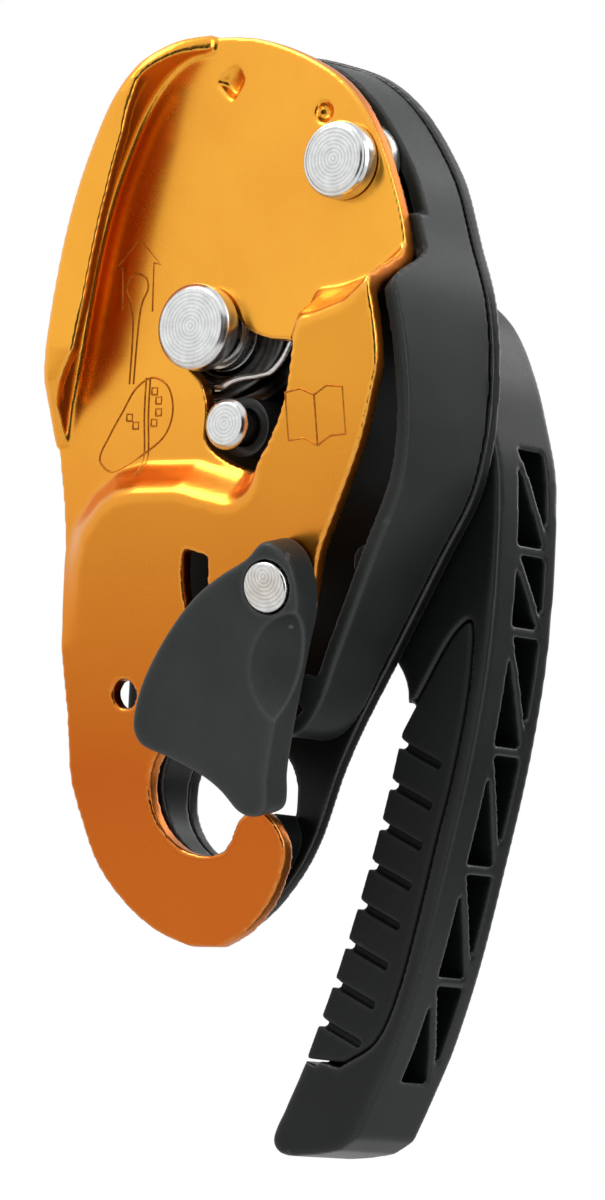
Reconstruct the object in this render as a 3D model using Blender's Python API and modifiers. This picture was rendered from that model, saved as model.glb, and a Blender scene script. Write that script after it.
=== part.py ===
"""Self-braking rope descender, as separate solids with real joints.

Frame: metres, +Z up, +X to the right seen from the front, the front faces -Y.
The origin is the middle of the attachment eye. Depths below are measured from
the upper face of the moving side plate, positive towards the handle at the back.
"""
import math

import bmesh
import bpy
from mathutils import Matrix, Vector

MM = 0.001

# Stack of depths, front to back, all in millimetres
EYE_DEPTH = 12.4            # depth of the origin behind the upper plate face
PLATE_THICK = 2.8           # moving side plate
CHANNEL_DEPTH = 14.5        # clear rope channel between the side plates
FIXED_THICK = 2.5           # fixed side plate
HANDLE_GAP = 1.2            # fixed plate to handle
HANDLE_DEPTH = 17.5         # handle lever, front to back
GAP = 0.3                   # clearance between pieces that seat on each other
SWING_GAP = 2.1             # clearance behind the leaning hook, which swings sideways

# Places of the pins, seen from the front
AXLE = (0.0, 74.0)          # cam and handle axis
PIVOT = (25.6, 100.1)       # hinge of the moving side plate
STUD = (6.0, 58.5)          # catch stud
GATE = (21.2, 33.2)         # gate hinge, on the raised face
EYE = (0.0, 0.0)            # attachment eye

# Diameters of pins, bushes and holes
AXLE_HEAD_DIA = 13.9
AXLE_FACE_DIA = 12.1
AXLE_NECK_DIA = 9.0
AXLE_HEAD_RISE = 4.1        # head face in front of the plate face
PIVOT_HEAD_DIA = 12.5
PIVOT_HEAD_RISE = 3.5
PIVOT_SHANK_DIA = 6.4
PIVOT_WASHER_DIA = 14.0
PIVOT_BUSH_DIA = 9.6
STUD_HEAD_DIA = 8.3
STUD_HEAD_RISE = 1.8
STUD_HEAD_EDGE = 1.2         # thickness of the head
STUD_CHAMFER = 0.8
STUD_NECK_DIA = 5.6
STUD_RING_DIA = 9.7
GATE_RIVET_DIA = 8.1
GATE_SHANK_DIA = 5.0
EYE_RADIUS = 9.8
FIXED_EYE_RADIUS = 10.6

# Raised face of the moving plate: a plane that leans back towards the hook
RAISE = 10.6                # rise at RAISE_TOP
RAISE_TOP = 71.0
RAISE_SLOPE = 0.22          # depth gained for each millimetre down
BEND_WIDTH = 7.4            # width of the pressed slope round the raised face
BEND_INSET = 1.6            # how much further in the back face bends

# Housing wall, spacer and steel friction plate
WALL_THICK = 2.4
WALL_TOP_DEPTH = 5.5        # front edge of the wall where it is set back
WALL_STEP_HEIGHT = 92.0     # height of the step in the wall's front edge
STRIP_THICK = 2.0
TAB_THICK = 1.5

# Cam
CAM_FRONT = 5.6
CAM_WIDTH = 10.6
CAM_GROOVE = 2.6
CAM_BUSH_WALL = 1.8
CAM_PIN = (-2.4, 65.2)      # pin that the return spring's leg presses

# Gate
GATE_THICK = 7.0
GATE_LIFT = 0.35            # gap between gate and plate face
GATE_PIN_REACH = 19.0       # stop pin's distance from the gate hinge
GATE_PIN_ANGLE = 203.0

# Handle lever
HANDLE_WALL = 2.6
CHANNEL_WIDTH = 9.5         # truss channel, measured in from the right edge
RIB_THICK = 1.6
HUB_BORE_DIA = 9.6
GRIP_DEPTH = 9.0
GRIP_FRONT = 2.4            # thickness of the pad over the front of the lever
GRIP_SIDE = 2.4             # thickness of the pad over its left side
SLOT_WIDTH = 1.25
SLOT_DEPTH = 1.3
SLOT_COUNT = 8
SLOT_ANGLE = -24.0
SLOT_LENGTH = 9.0
HUB_DEPTH = 13.0
COLLAR_DIA = 15.0           # release collar through the fixed plate
SPRING_POCKET_DIA = 17.5
SPRING_POCKET_DEPTH = 7.4
NUT_POCKET_DIA = 23.0

# Screws and rivets
SCREW_DIA = 2.6
SCREW_HEAD_DIA = 4.6
BOSS_DIA = 5.6
TAB_RIVETS = [(-2.0, 110.0), (9.0, 110.4)]
RIVET_DIA = 3.2

# Springs
WIRE_DIA = 1.2
SPRING_POST = (19.0, 77.4)
SPRING_POST_DIA = 3.2
SPRING_DEPTH = 4.2          # depth of the cam spring's leg
SPRING_PITCH = 1.75

PLATE_BACK = PLATE_THICK
FIXED_FRONT = PLATE_THICK + CHANNEL_DEPTH
FIXED_BACK = FIXED_FRONT + FIXED_THICK
HANDLE_FRONT = FIXED_BACK + HANDLE_GAP
HANDLE_BACK = HANDLE_FRONT + HANDLE_DEPTH
HUB_BACK = HANDLE_FRONT + HUB_DEPTH


def clear_scene():
    """Remove every object that the file opened with."""
    for item in list(bpy.data.objects):
        bpy.data.objects.remove(item, do_unlink=True)


clear_scene()
PART = bpy.data.collections.new("rope_descender")
bpy.context.scene.collection.children.link(PART)
CUTTERS = bpy.data.collections.new("cutters")
bpy.context.scene.collection.children.link(CUTTERS)


def material(name, colour, roughness, metallic):
    """A Principled material with one colour."""
    mat = bpy.data.materials.new(name)
    mat.use_nodes = True
    shader = mat.node_tree.nodes["Principled BSDF"]
    shader.inputs["Base Color"].default_value = (*colour, 1.0)
    shader.inputs["Roughness"].default_value = roughness
    shader.inputs["Metallic"].default_value = metallic
    return mat


def place(depth):
    """Y of a depth, in metres."""
    return (depth - EYE_DEPTH) * MM


def add_object(name, mesh, collection=None):
    """Link a mesh as a new object."""
    item = bpy.data.objects.new(name, mesh)
    (collection or PART).objects.link(item)
    return item


def hide_cutter(item):
    """Show a cutter as wire and leave it out of renders."""
    item.hide_render = True
    item.display_type = "WIRE"
    return item


def baked(item):
    """Replace an object by the mesh that its modifiers and curve give."""
    bpy.context.view_layer.update()
    graph = bpy.context.evaluated_depsgraph_get()
    mesh = bpy.data.meshes.new_from_object(item.evaluated_get(graph))
    mesh.transform(item.matrix_world)
    work = bmesh.new()
    work.from_mesh(mesh)
    bmesh.ops.remove_doubles(work, verts=work.verts, dist=2e-6)
    bmesh.ops.recalc_face_normals(work, faces=work.faces)
    work.to_mesh(mesh)
    work.free()
    name = item.name
    home = item.users_collection[0]
    mats = [slot.material for slot in item.material_slots]
    bpy.data.objects.remove(item, do_unlink=True)
    mesh.materials.clear()
    for mat in mats:
        mesh.materials.append(mat)
    return add_object(name, mesh, home)


def dress(item, mat, smooth=True):
    """Give a piece its material and smooth shading across gentle edges."""
    item.data.materials.clear()
    item.data.materials.append(mat)
    if smooth:
        item.data.shade_smooth()
        item.data.set_sharp_from_angle(angle=math.radians(35))
    return item


def boolean(item, other, operation):
    """Cut, join or intersect an object with another, exactly."""
    mod = item.modifiers.new(operation.lower(), "BOOLEAN")
    mod.operation = operation
    mod.solver = "EXACT"
    mod.object = other
    return item


def cut(item, *others):
    """Cut with objects that stay in the cutters' collection."""
    for other in others:
        boolean(item, other, "DIFFERENCE")
    return item


def join(item, *others):
    """Join objects into one body and remove the added ones."""
    for other in others:
        boolean(item, other, "UNION")
    item = baked(item)
    for other in others:
        bpy.data.objects.remove(other, do_unlink=True)
    return item


def smooth_loop(points, steps=4, closed=True, corners=()):
    """Points on a smooth curve through the given ones, sharp at corners."""
    count = len(points)
    result = []
    last = count if closed else count - 1
    for index in range(last):
        start = Vector(points[index])
        end = Vector(points[(index + 1) % count])
        before = Vector(points[index - 1]) if closed or index > 0 else start
        after_index = index + 2
        if closed or after_index < count:
            after = Vector(points[after_index % count])
        else:
            after = end
        if index in corners:
            before = start
        if (index + 1) % count in corners:
            after = end
        span = (end - start).length
        lead = (end - before) * (span / max((start - before).length + span, 1e-6))
        trail = (after - start) * (span / max((after - end).length + span, 1e-6))
        for step in range(steps):
            t = step / steps
            value = (
                start * (2 * t**3 - 3 * t**2 + 1)
                + lead * (t**3 - 2 * t**2 + t)
                + end * (-2 * t**3 + 3 * t**2)
                + trail * (t**3 - t**2)
            )
            result.append((value.x, value.y))
    if not closed:
        result.append(tuple(points[-1]))
    return result


def circle(centre, radius, count=32):
    """Points of a circle."""
    return [
        (
            centre[0] + radius * math.cos(2 * math.pi * i / count),
            centre[1] + radius * math.sin(2 * math.pi * i / count),
        )
        for i in range(count)
    ]


def offset_path(points, distance):
    """An open path moved sideways, to its left for a positive distance."""
    result = []
    for index, point in enumerate(points):
        here = Vector(point)
        ahead = Vector(points[min(index + 1, len(points) - 1)])
        behind = Vector(points[max(index - 1, 0)])
        along = (ahead - behind).normalized()
        side = Vector((-along.y, along.x))
        result.append(tuple(here + side * distance))
    return result


def plate(name, loops, front, back, mat=None, collection=None):
    """A flat outline with holes, filled and extruded between two depths."""
    curve = bpy.data.curves.new(name, "CURVE")
    curve.dimensions = "2D"
    curve.fill_mode = "BOTH"
    curve.extrude = (back - front) / 2 * MM
    for loop in loops:
        spline = curve.splines.new("POLY")
        spline.points.add(len(loop) - 1)
        for point, (x, z) in zip(spline.points, loop):
            point.co = (x * MM, z * MM, 0, 1)
        spline.use_cyclic_u = True
    item = bpy.data.objects.new(name, curve)
    (collection or PART).objects.link(item)
    item.rotation_euler = (math.pi / 2, 0, 0)
    item.location.y = place((front + back) / 2)
    item = baked(item)
    if mat:
        dress(item, mat)
    if collection is CUTTERS:
        hide_cutter(item)
    return item


def turned(name, profile, centre, mat=None, steps=40, collection=None, tilt=0.0):
    """A round piece: (radius, depth) pairs, front to back, about a Y axis."""
    mesh = bpy.data.meshes.new(name)
    work = bmesh.new()
    verts = [work.verts.new((r * MM, 0, -d * MM)) for r, d in profile]
    for first, second in zip(verts, verts[1:]):
        work.edges.new((first, second))
    work.to_mesh(mesh)
    work.free()
    item = add_object(name, mesh, collection)
    screw = item.modifiers.new("turn", "SCREW")
    screw.axis = "Z"
    screw.steps = steps
    screw.render_steps = steps
    screw.use_merge_vertices = True
    screw.merge_threshold = 0.00001
    item.rotation_euler = (math.pi / 2 + tilt, 0, 0)
    item.location = (centre[0] * MM, place(0), centre[1] * MM)
    item = baked(item)
    if mat:
        dress(item, mat)
    if collection is CUTTERS:
        hide_cutter(item)
    return item


def drill(name, centre, diameter, front=-60, back=80, steps=40):
    """A round cutter along Y."""
    radius = diameter / 2
    profile = [(0, front), (radius, front), (radius, back), (0, back)]
    return turned(name, profile, centre, steps=steps, collection=CUTTERS)


def soften(item, width, segments=2, angle=40):
    """Round the edges of a piece and bake the result."""
    bevel = item.modifiers.new("soften", "BEVEL")
    bevel.width = width * MM
    bevel.segments = segments
    bevel.limit_method = "ANGLE"
    bevel.angle_limit = math.radians(angle)
    bevel.use_clamp_overlap = True
    return baked(item)


def set_origin(item, centre, depth):
    """Put a piece's origin on its joint axis without moving the piece."""
    target = Vector((centre[0] * MM, place(depth), centre[1] * MM))
    item.data.transform(Matrix.Translation(item.location - target))
    item.location = target
    return item


ORANGE = material("orange_anodised", (0.86, 0.32, 0.03), 0.25, 1.0)
BLACK = material("black_anodised", (0.03, 0.034, 0.033), 0.45, 0.4)
MOULDED = material("moulded_black", (0.035, 0.04, 0.04), 0.5, 0.0)
GATE_GREY = material("grained_grey", (0.06, 0.065, 0.068), 0.7, 0.0)
GRIP_BLACK = material("grip_black", (0.025, 0.028, 0.028), 0.6, 0.0)
STEEL = material("turned_steel", (0.72, 0.73, 0.73), 0.28, 1.0)
DARK_STEEL = material("dark_steel", (0.12, 0.12, 0.12), 0.35, 1.0)

# Line round the raised part of the moving plate; the raised side is on its right
RAISED_EDGE = [
    (-27.5, 16.0), (-27.0, 36.0), (-25.0, 43.4), (-20.1, 49.1), (-15.2, 52.3),
    (-10.0, 53.4), (0.2, 53.5), (9.1, 51.3), (9.5, 55.0), (12.0, 64.0), (15.5, 69.5),
    (17.3, 72.0), (21.3, 80.2), (26.7, 80.8), (31.5, 82.2), (37.0, 86.4), (44.0, 94.0),
]


def edge_distance(x, z):
    """Distance from the line round the raised face, positive on its raised side."""
    best = 1e9
    square = 0.0
    spot = Vector((x, z))
    for first, second in zip(RAISED_EDGE, RAISED_EDGE[1:]):
        start = Vector(first)
        along = Vector(second) - start
        t = max(0.0, min(1.0, (spot - start).dot(along) / along.length_squared))
        away = (spot - (start + along * t)).length
        right = (along.y * (x - first[0]) - along.x * (z - first[1])) / along.length
        nearer = away < best - 1e-6
        if nearer or (away < best + 1e-6 and abs(right) > abs(square)):
            best = min(best, away)
            square = right
    return math.copysign(best, square)


def raised_depth(z):
    """Depth of the leaning plane of the raised face."""
    return -RAISE + RAISE_SLOPE * (RAISE_TOP - z)


def face_depth(x, z, inset=0.0):
    """Depth of the moving plate's front face, or of a copy pressed in further."""
    lean = raised_depth(z)
    if lean > 0:
        return lean
    t = max(0.0, min(1.0, (edge_distance(x, z) - inset) / BEND_WIDTH))
    return lean * t * t * (3 - 2 * t)


def back_depth(x, z):
    """Depth of the back face; its bend lies further in, so the wall stays even."""
    return face_depth(x, z, BEND_INSET) + PLATE_THICK


def sheet_lines(low, high, coarse, fine, dense):
    """Grid lines: coarse ones, and fine ones inside the dense spans."""
    values = []
    value = low
    while value < high - 0.01:
        values.append(value)
        inside = any(a <= value < b for a, b in dense)
        value += fine if inside else coarse
    values.append(high)
    return values


def pressed_grid(step, depth_at):
    """One surface of the pressed plate, with large faces where it is flat."""
    columns = sheet_lines(-34.0, 46.0, step, step, [])
    rows = sheet_lines(-32.0, 126.0, 6.0, step, [(15.0, 90.0)])
    work = bmesh.new()
    grid = [[work.verts.new((x * MM, place(depth_at(x, z)), z * MM)) for x in columns]
            for z in rows]
    for lower, upper in zip(grid, grid[1:]):
        for a, b, c, d in zip(lower, lower[1:], upper[1:], upper):
            work.faces.new((a, b, c, d))
    flat = []
    for vert in work.verts:
        away = edge_distance(vert.co.x / MM, vert.co.z / MM)
        if away < -step or away > BEND_WIDTH + BEND_INSET + step or vert.co.z / MM < 15.0:
            flat.append(vert)
    chosen = set(flat)
    edges = [e for e in work.edges if e.verts[0] in chosen and e.verts[1] in chosen]
    bmesh.ops.dissolve_limit(work, angle_limit=math.radians(0.4), verts=flat, edges=edges)
    bmesh.ops.triangulate(work, faces=[f for f in work.faces if len(f.verts) > 4])
    return work


def thickened(name, work, depth_at, collection=None):
    """Close a pressed surface into a solid whose far side lies at another depth."""
    rim = bmesh.ops.extrude_face_region(work, geom=work.faces[:])
    for vert in [v for v in rim["geom"] if isinstance(v, bmesh.types.BMVert)]:
        vert.co.y = place(depth_at(vert.co.x / MM, vert.co.z / MM))
    bmesh.ops.recalc_face_normals(work, faces=work.faces)
    mesh = bpy.data.meshes.new(name)
    work.to_mesh(mesh)
    work.free()
    return add_object(name, mesh, collection)


def swing_block(name, gap):
    """A cutter that clears everything in front of the moving plate's back face."""
    work = pressed_grid(2.4, lambda x, z: back_depth(x, z) + gap)
    return hide_cutter(thickened(name, work, lambda x, z: -40.0, CUTTERS))


# Moving side plate: outline seen from the front, clockwise from the top
MOVING_RIGHT = [
    (-5.2, 121.0), (5.5, 120.8), (13.5, 118.8), (21.6, 115.0), (26.6, 111.0),
    (30.6, 105.6), (33.6, 99.6), (36.8, 91.1), (38.2, 84.5), (39.6, 78.0),
    (40.2, 68.1), (38.4, 61.8), (35.5, 54.3), (29.7, 43.5), (26.6, 37.8),
    (24.8, 31.5), (22.5, 26.4), (17.0, 24.0), (9.0, 20.0), (0.5, 13.5), (-4.2, 9.2),
]
HOOK_TIP = [
    (5.7, -6.9), (7.0, -4.4), (9.0, -2.9), (11.9, -2.5), (14.6, -5.0), (15.8, -8.3),
    (14.6, -12.6), (11.8, -17.2), (7.2, -21.5), (1.8, -24.2),
]
MOVING_LEFT = [
    (-4.2, -24.3), (-10.6, -22.0), (-16.4, -17.8), (-21.4, -11.6), (-24.2, -3.6),
    (-25.6, 2.6), (-25.2, 12.2), (-25.5, 24.0), (-25.4, 36.0), (-26.4, 46.0),
    (-28.0, 57.0), (-26.6, 68.0), (-25.2, 80.0), (-21.6, 95.0), (-17.6, 106.0),
    (-13.4, 114.0), (-9.6, 118.8),
]
WINDOW = [
    (-3.2, 68.4), (-5.3, 72.2), (-4.6, 77.4), (-0.4, 79.6), (4.6, 77.2), (7.9, 74.0),
    (11.7, 72.4), (17.3, 71.7), (24.4, 70.6), (22.1, 62.0), (19.3, 56.4), (14.9, 50.5),
    (10.7, 51.1), (4.9, 53.1), (1.2, 56.0), (1.2, 61.0), (-0.4, 65.4),
]


def eye_arc(radius, start, end, count=14):
    """Points round the attachment eye between two angles in degrees."""
    points = []
    for i in range(count + 1):
        angle = math.radians(start + (end - start) * i / count)
        points.append((EYE[0] + radius * math.cos(angle), EYE[1] + radius * math.sin(angle)))
    return points


def moving_outline():
    """The moving plate's edge, with its open hook round the eye."""
    right = smooth_loop(MOVING_RIGHT, steps=3, closed=False)
    eye = eye_arc(EYE_RADIUS, 130, 295)
    tip = smooth_loop(HOOK_TIP, steps=3, closed=False)
    left = smooth_loop(MOVING_LEFT, steps=3, closed=False)
    return right + eye + tip + left


def gate_slot():
    """Slot round the gate's hinge in which the gate's stop pin travels."""
    inner, outer, first, last = 16.6, 21.4, 166, 208
    points = []
    for radius, start, end in ((outer, first, last), (inner, last, first)):
        for i in range(13):
            angle = math.radians(start + (end - start) * i / 12)
            points.append((GATE[0] + radius * math.cos(angle), GATE[1] + radius * math.sin(angle)))
    return points


# Route of the rolled lip along the plate's upper left edge, top to bottom:
# place of its root, height forward, and how far it curls back over the face
LIP_ROUTE = [
    (-1.0, 120.0, 2.4, 0.0), (-6.0, 118.8, 5.6, 0.0), (-10.2, 116.0, 8.2, 0.6),
    (-13.6, 111.8, 9.2, 2.2), (-16.4, 106.6, 9.4, 3.8), (-20.2, 97.0, 9.4, 5.0),
    (-22.6, 88.0, 9.4, 5.4), (-24.2, 79.0, 9.4, 5.4), (-25.4, 71.0, 9.2, 4.8),
    (-26.2, 65.6, 8.0, 2.6), (-26.9, 60.6, 4.6, 0.6), (-27.2, 55.0, 1.2, 0.0),
]


def lip_section(height, curl):
    """Closed section of the lip: across the edge (outward) and forward."""
    skin = 0.43 * PLATE_THICK
    floor = min(skin, 0.55 * height)
    rise = height - floor
    reach = max(curl, 1.05)
    under = height - 0.325 * rise
    return [
        (-2.6, -skin), (0.3, -skin), (1.2, -0.3 * skin), (1.5, floor + 0.25 * rise),
        (1.5, floor + 0.72 * rise), (1.0, floor + 0.92 * rise), (-0.2, height),
        (-0.55 * reach, height), (-reach, floor + 0.97 * rise), (-reach, under),
        (-0.5 - 0.5 * reach, under), (-1.0, under - 0.12 * rise), (-1.0, floor + 0.15 * rise),
        (-1.5, floor), (-2.6, floor),
    ]


def rolled_lip():
    """The lip as a loft of changing sections along the plate's left edge."""
    path = smooth_loop([(x, z) for x, z, _, _ in LIP_ROUTE], steps=3, closed=False)
    sizes = smooth_loop([(h, c) for _, _, h, c in LIP_ROUTE], steps=3, closed=False)
    work = bmesh.new()
    rows = []
    for index, (spot, (height, curl)) in enumerate(zip(path, sizes)):
        ahead = Vector(path[min(index + 1, len(path) - 1)])
        behind = Vector(path[max(index - 1, 0)])
        along = (ahead - behind).normalized()
        outward = Vector((along.y, -along.x))
        row = []
        for across, forward in lip_section(max(height, 1.0), max(curl, 0.0)):
            x = spot[0] + outward.x * across
            z = spot[1] + outward.y * across
            row.append(work.verts.new((x * MM, place(PLATE_THICK / 2 - forward), z * MM)))
        rows.append(row)
    for upper, lower in zip(rows, rows[1:]):
        for i in range(len(upper)):
            j = (i + 1) % len(upper)
            work.faces.new((upper[i], upper[j], lower[j], lower[i]))
    work.faces.new(rows[0])
    work.faces.new(rows[-1][::-1])
    bmesh.ops.recalc_face_normals(work, faces=work.faces)
    mesh = bpy.data.meshes.new("lip")
    work.to_mesh(mesh)
    work.free()
    return add_object("lip", mesh)


def build_moving_plate():
    """Pressed aluminium plate with raised arm, window, hook and rolled lip."""
    item = thickened("moving_side_plate", pressed_grid(2.2, face_depth), back_depth)
    holes = [smooth_loop(WINDOW, steps=3, corners=(8, 11)), gate_slot()]
    holes += [circle(PIVOT, PIVOT_SHANK_DIA / 2 + GAP), circle((-13.4, 15.5), 2.3, 24)]
    shape = plate("plate_outline", [moving_outline()] + holes, -33, 31, collection=CUTTERS)
    boolean(item, shape, "INTERSECT")
    item = baked(item)
    item = join(item, rolled_lip())
    shank = drill("gate_shank_hole", GATE, GATE_SHANK_DIA + 4 * GAP, steps=24)
    blind = drill("blind_hole", (20.9, 108.2), 3.2, -10, 1.6, steps=20)
    dart = plate("dart", [[(-0.6, 114.0), (4.6, 117.6), (6.0, 114.8), (3.0, 110.4)]], -5, 1.5,
                 collection=CUTTERS)
    cut(item, shank, blind, dart)
    return dress(baked(item), ORANGE)


# Fixed side plate, seen from the front, clockwise from the top
FIXED_RIGHT = [
    (-5.0, 120.4), (5.5, 120.2), (14.6, 118.2), (20.2, 116.1), (25.0, 112.9), (29.2, 108.7),
    (33.6, 102.6), (36.3, 97.7), (39.4, 88.7), (42.4, 80.4), (43.8, 72.4), (44.1, 64.4),
    (43.6, 57.0), (41.5, 48.4), (36.3, 38.8), (26.9, 21.4), (22.2, 12.9), (18.4, 4.9),
    (15.6, -3.3), (13.8, -7.7), (11.3, -11.9), (7.6, -16.4), (3.6, -19.9), (-0.8, -22.3),
]
FIXED_LEFT = [
    (-6.0, -21.6), (-13.0, -18.4), (-18.6, -12.4), (-21.8, -4.4), (-23.6, 8.0), (-24.2, 24.0),
    (-24.4, 40.0), (-25.4, 56.0), (-24.6, 72.0), (-22.6, 88.0), (-18.6, 102.0), (-12.6, 114.0),
]
SCREWS = [(38.6, 60.0), (31.0, 37.0), (20.4, 16.4), (37.0, 85.4), (22.0, 109.2)]


def build_fixed_plate():
    """Flat aluminium plate that carries every fixed pin."""
    outline = smooth_loop(FIXED_RIGHT, steps=2, closed=False)
    outline += smooth_loop(FIXED_LEFT, steps=2, closed=False)
    loops = [outline, circle(EYE, FIXED_EYE_RADIUS, 40)]
    loops += [circle(AXLE, COLLAR_DIA / 2 + GAP, 40)]
    loops += [circle(PIVOT, PIVOT_SHANK_DIA / 2 + GAP)]
    loops += [circle(STUD, STUD_NECK_DIA / 2 + GAP, 24)]
    item = plate("fixed_side_plate", loops, FIXED_FRONT, FIXED_BACK)
    sinks = [screw_shape("sink_%d" % i, spot, GAP, CUTTERS) for i, spot in enumerate(SCREWS)]
    pegs = [drill("tab_hole_%d" % i, spot, RIVET_DIA + 2 * GAP, steps=20)
            for i, spot in enumerate(TAB_RIVETS)]
    cut(item, *sinks, *pegs)
    return dress(baked(item), BLACK)


def screw_shape(name, spot, grow, collection=None, mat=None):
    """A flush screw from the back; grown by a clearance it is its own hole."""
    shank = SCREW_DIA / 2 + grow
    head = SCREW_HEAD_DIA / 2 + grow
    start = FIXED_FRONT - 5.0 - grow
    flat = FIXED_BACK + (grow if grow else -0.05)
    profile = [
        (0, start), (shank, start), (shank, FIXED_BACK - 1.3 - grow), (head, FIXED_BACK - 0.4 - grow),
        (head, flat), (0, flat),
    ]
    if mat:
        recess = 1.1
        profile = profile[:-1] + [(recess, flat), (recess, flat - 0.9), (0, flat - 0.9)]
    return turned(name, profile, spot, mat, steps=20, collection=collection)


# Housing wall: outer line, from the top of the right side down to its rounded end
WALL_LINE = [
    (16.8, 117.2), (20.2, 115.7), (25.0, 112.4), (29.0, 108.3), (33.3, 102.3), (36.0, 97.4),
    (39.1, 88.5), (42.1, 80.2), (43.4, 72.4), (43.7, 64.4), (43.2, 57.0), (41.1, 48.5),
    (35.9, 39.0), (26.5, 21.6), (22.6, 14.2), (18.8, 10.2), (14.4, 9.6), (12.2, 13.0),
]


def build_housing(block):
    """Moulded wall that closes the rope channel on its right side."""
    outer = smooth_loop(WALL_LINE, steps=2, closed=False)
    inner = offset_path(outer, -WALL_THICK)
    item = plate("side_housing", [outer + inner[::-1]], -16, FIXED_FRONT - GAP)
    for i, (x, z) in enumerate(SCREWS):
        profile = [(0, 4.0), (BOSS_DIA / 2, 4.0), (BOSS_DIA / 2, FIXED_FRONT - GAP),
                   (0, FIXED_FRONT - GAP)]
        item = join(item, turned("boss_%d" % i, profile, (x, z), steps=24))
    top = plate("set_back", [[(0, WALL_STEP_HEIGHT), (60, WALL_STEP_HEIGHT), (60, 140), (0, 140)]],
                -40, WALL_TOP_DEPTH, collection=CUTTERS)
    holes = [screw_shape("boss_hole_%d" % i, spot, GAP, CUTTERS) for i, spot in enumerate(SCREWS)]
    room = drill("washer_room", PIVOT, PIVOT_WASHER_DIA + 2 * GAP, -40, WALL_TOP_DEPTH - GAP / 2)
    cut(item, block, top, room, *holes)
    return dress(baked(item), MOULDED)


# Spacer round the attachment eye, between the two plates
SPACER_LINE = [
    (-14.8, 9.6), (-13.2, 12.6), (-8.6, 13.6), (-4.6, 11.6),
]
SPACER_OUTER = [
    (11.0, -2.6), (12.4, -6.4), (10.6, -11.2), (6.6, -15.6), (0.0, -19.4), (-6.8, -18.6),
    (-13.0, -14.6), (-17.0, -8.2), (-18.0, 0.0), (-16.6, 6.0),
]


def build_spacer(block):
    """Black spacer that thickens the eye and keeps the plates apart."""
    outline = eye_arc(FIXED_EYE_RADIUS, 118, 345, 20)
    outline += smooth_loop(SPACER_OUTER, steps=2, closed=False)
    outline += smooth_loop(SPACER_LINE, steps=2, closed=False)
    item = plate("attachment_spacer", [outline], -5, FIXED_FRONT - GAP)
    cut(item, block)
    return dress(baked(item), BLACK)


def build_axle():
    """Main axle: turned head in front, neck through cam, plate and handle."""
    head = AXLE_HEAD_DIA / 2
    neck = AXLE_NECK_DIA / 2
    back = HANDLE_BACK - 4.0
    profile = [
        (0, -AXLE_HEAD_RISE), (AXLE_FACE_DIA / 2, -AXLE_HEAD_RISE), (head, -AXLE_HEAD_RISE + 0.9),
        (head, -0.6), (neck, -0.6), (neck, back), (0, back),
    ]
    return turned("cam_axle", profile, AXLE, STEEL, steps=48)


def ring(name, spot, bore, outside, front, back, mat, steps=36):
    """A washer, bush or collar."""
    profile = [
        (bore / 2, front), (outside / 2, front), (outside / 2, back), (bore / 2, back),
        (bore / 2, front),
    ]
    return turned(name, profile, spot, mat, steps=steps)


# Cam outline: radius about the axle at angles from +X, counterclockwise
CAM_RADII = [
    (0, 12.0), (30, 12.8), (60, 15.0), (90, 18.0), (120, 20.2), (150, 21.0), (180, 20.4),
    (205, 18.2), (225, 14.6), (245, 11.8), (270, 10.6), (300, 10.4), (330, 11.0),
]


def build_cam():
    """Rope cam with a round groove along its edge and a worn flat face."""
    points = []
    for angle, radius in CAM_RADII:
        turn = math.radians(angle)
        points.append((AXLE[0] + radius * math.cos(turn), AXLE[1] + radius * math.sin(turn)))
    outline = smooth_loop(points, steps=4)
    bore = AXLE_NECK_DIA / 2 + CAM_BUSH_WALL + 2 * GAP
    back = CAM_FRONT + CAM_WIDTH
    item = plate("cam", [outline, circle(AXLE, bore, 36)], CAM_FRONT, back)
    groove = bpy.data.curves.new("cam_groove", "CURVE")
    groove.dimensions = "3D"
    groove.bevel_depth = CAM_GROOVE * MM
    groove.bevel_resolution = 2
    spline = groove.splines.new("POLY")
    spline.points.add(len(outline) - 1)
    for point, (x, z) in zip(spline.points, outline):
        dx, dz = x - AXLE[0], z - AXLE[1]
        reach = (math.hypot(dx, dz) + 0.7) / math.hypot(dx, dz)
        middle = place((CAM_FRONT + back) / 2)
        point.co = ((AXLE[0] + dx * reach) * MM, middle, (AXLE[1] + dz * reach) * MM, 1)
    spline.use_cyclic_u = True
    guide = bpy.data.objects.new("cam_groove", groove)
    CUTTERS.objects.link(guide)
    guide = hide_cutter(baked(guide))
    cut(item, guide)
    return set_origin(dress(baked(item), DARK_STEEL), AXLE, back)


STRIP_LINE = [(-9.0, 116.2), (-3.0, 118.7), (4.0, 119.4), (10.5, 118.0), (15.4, 115.6)]


def build_friction_plate():
    """Steel wear strip over the top of the channel, with a riveted tab."""
    outer = smooth_loop(STRIP_LINE, steps=3, closed=False)
    inner = offset_path(outer, -STRIP_THICK)
    tab_back = FIXED_FRONT - GAP
    item = plate("friction_plate", [outer + inner[::-1]], PLATE_BACK + 1.0, tab_back)
    tab_line = [(-8.0, 115.0), (14.0, 114.6), (13.0, 107.6), (-5.6, 106.6)]
    tab = plate("tab", [offset_path(outer, -0.5) + tab_line[1:]],
                tab_back - TAB_THICK, tab_back)
    item = join(item, tab)
    holes = [drill("strip_hole_%d" % i, spot, RIVET_DIA + 2 * GAP, steps=20)
             for i, spot in enumerate(TAB_RIVETS)]
    cut(item, *holes)
    return dress(baked(item), STEEL)


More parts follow.
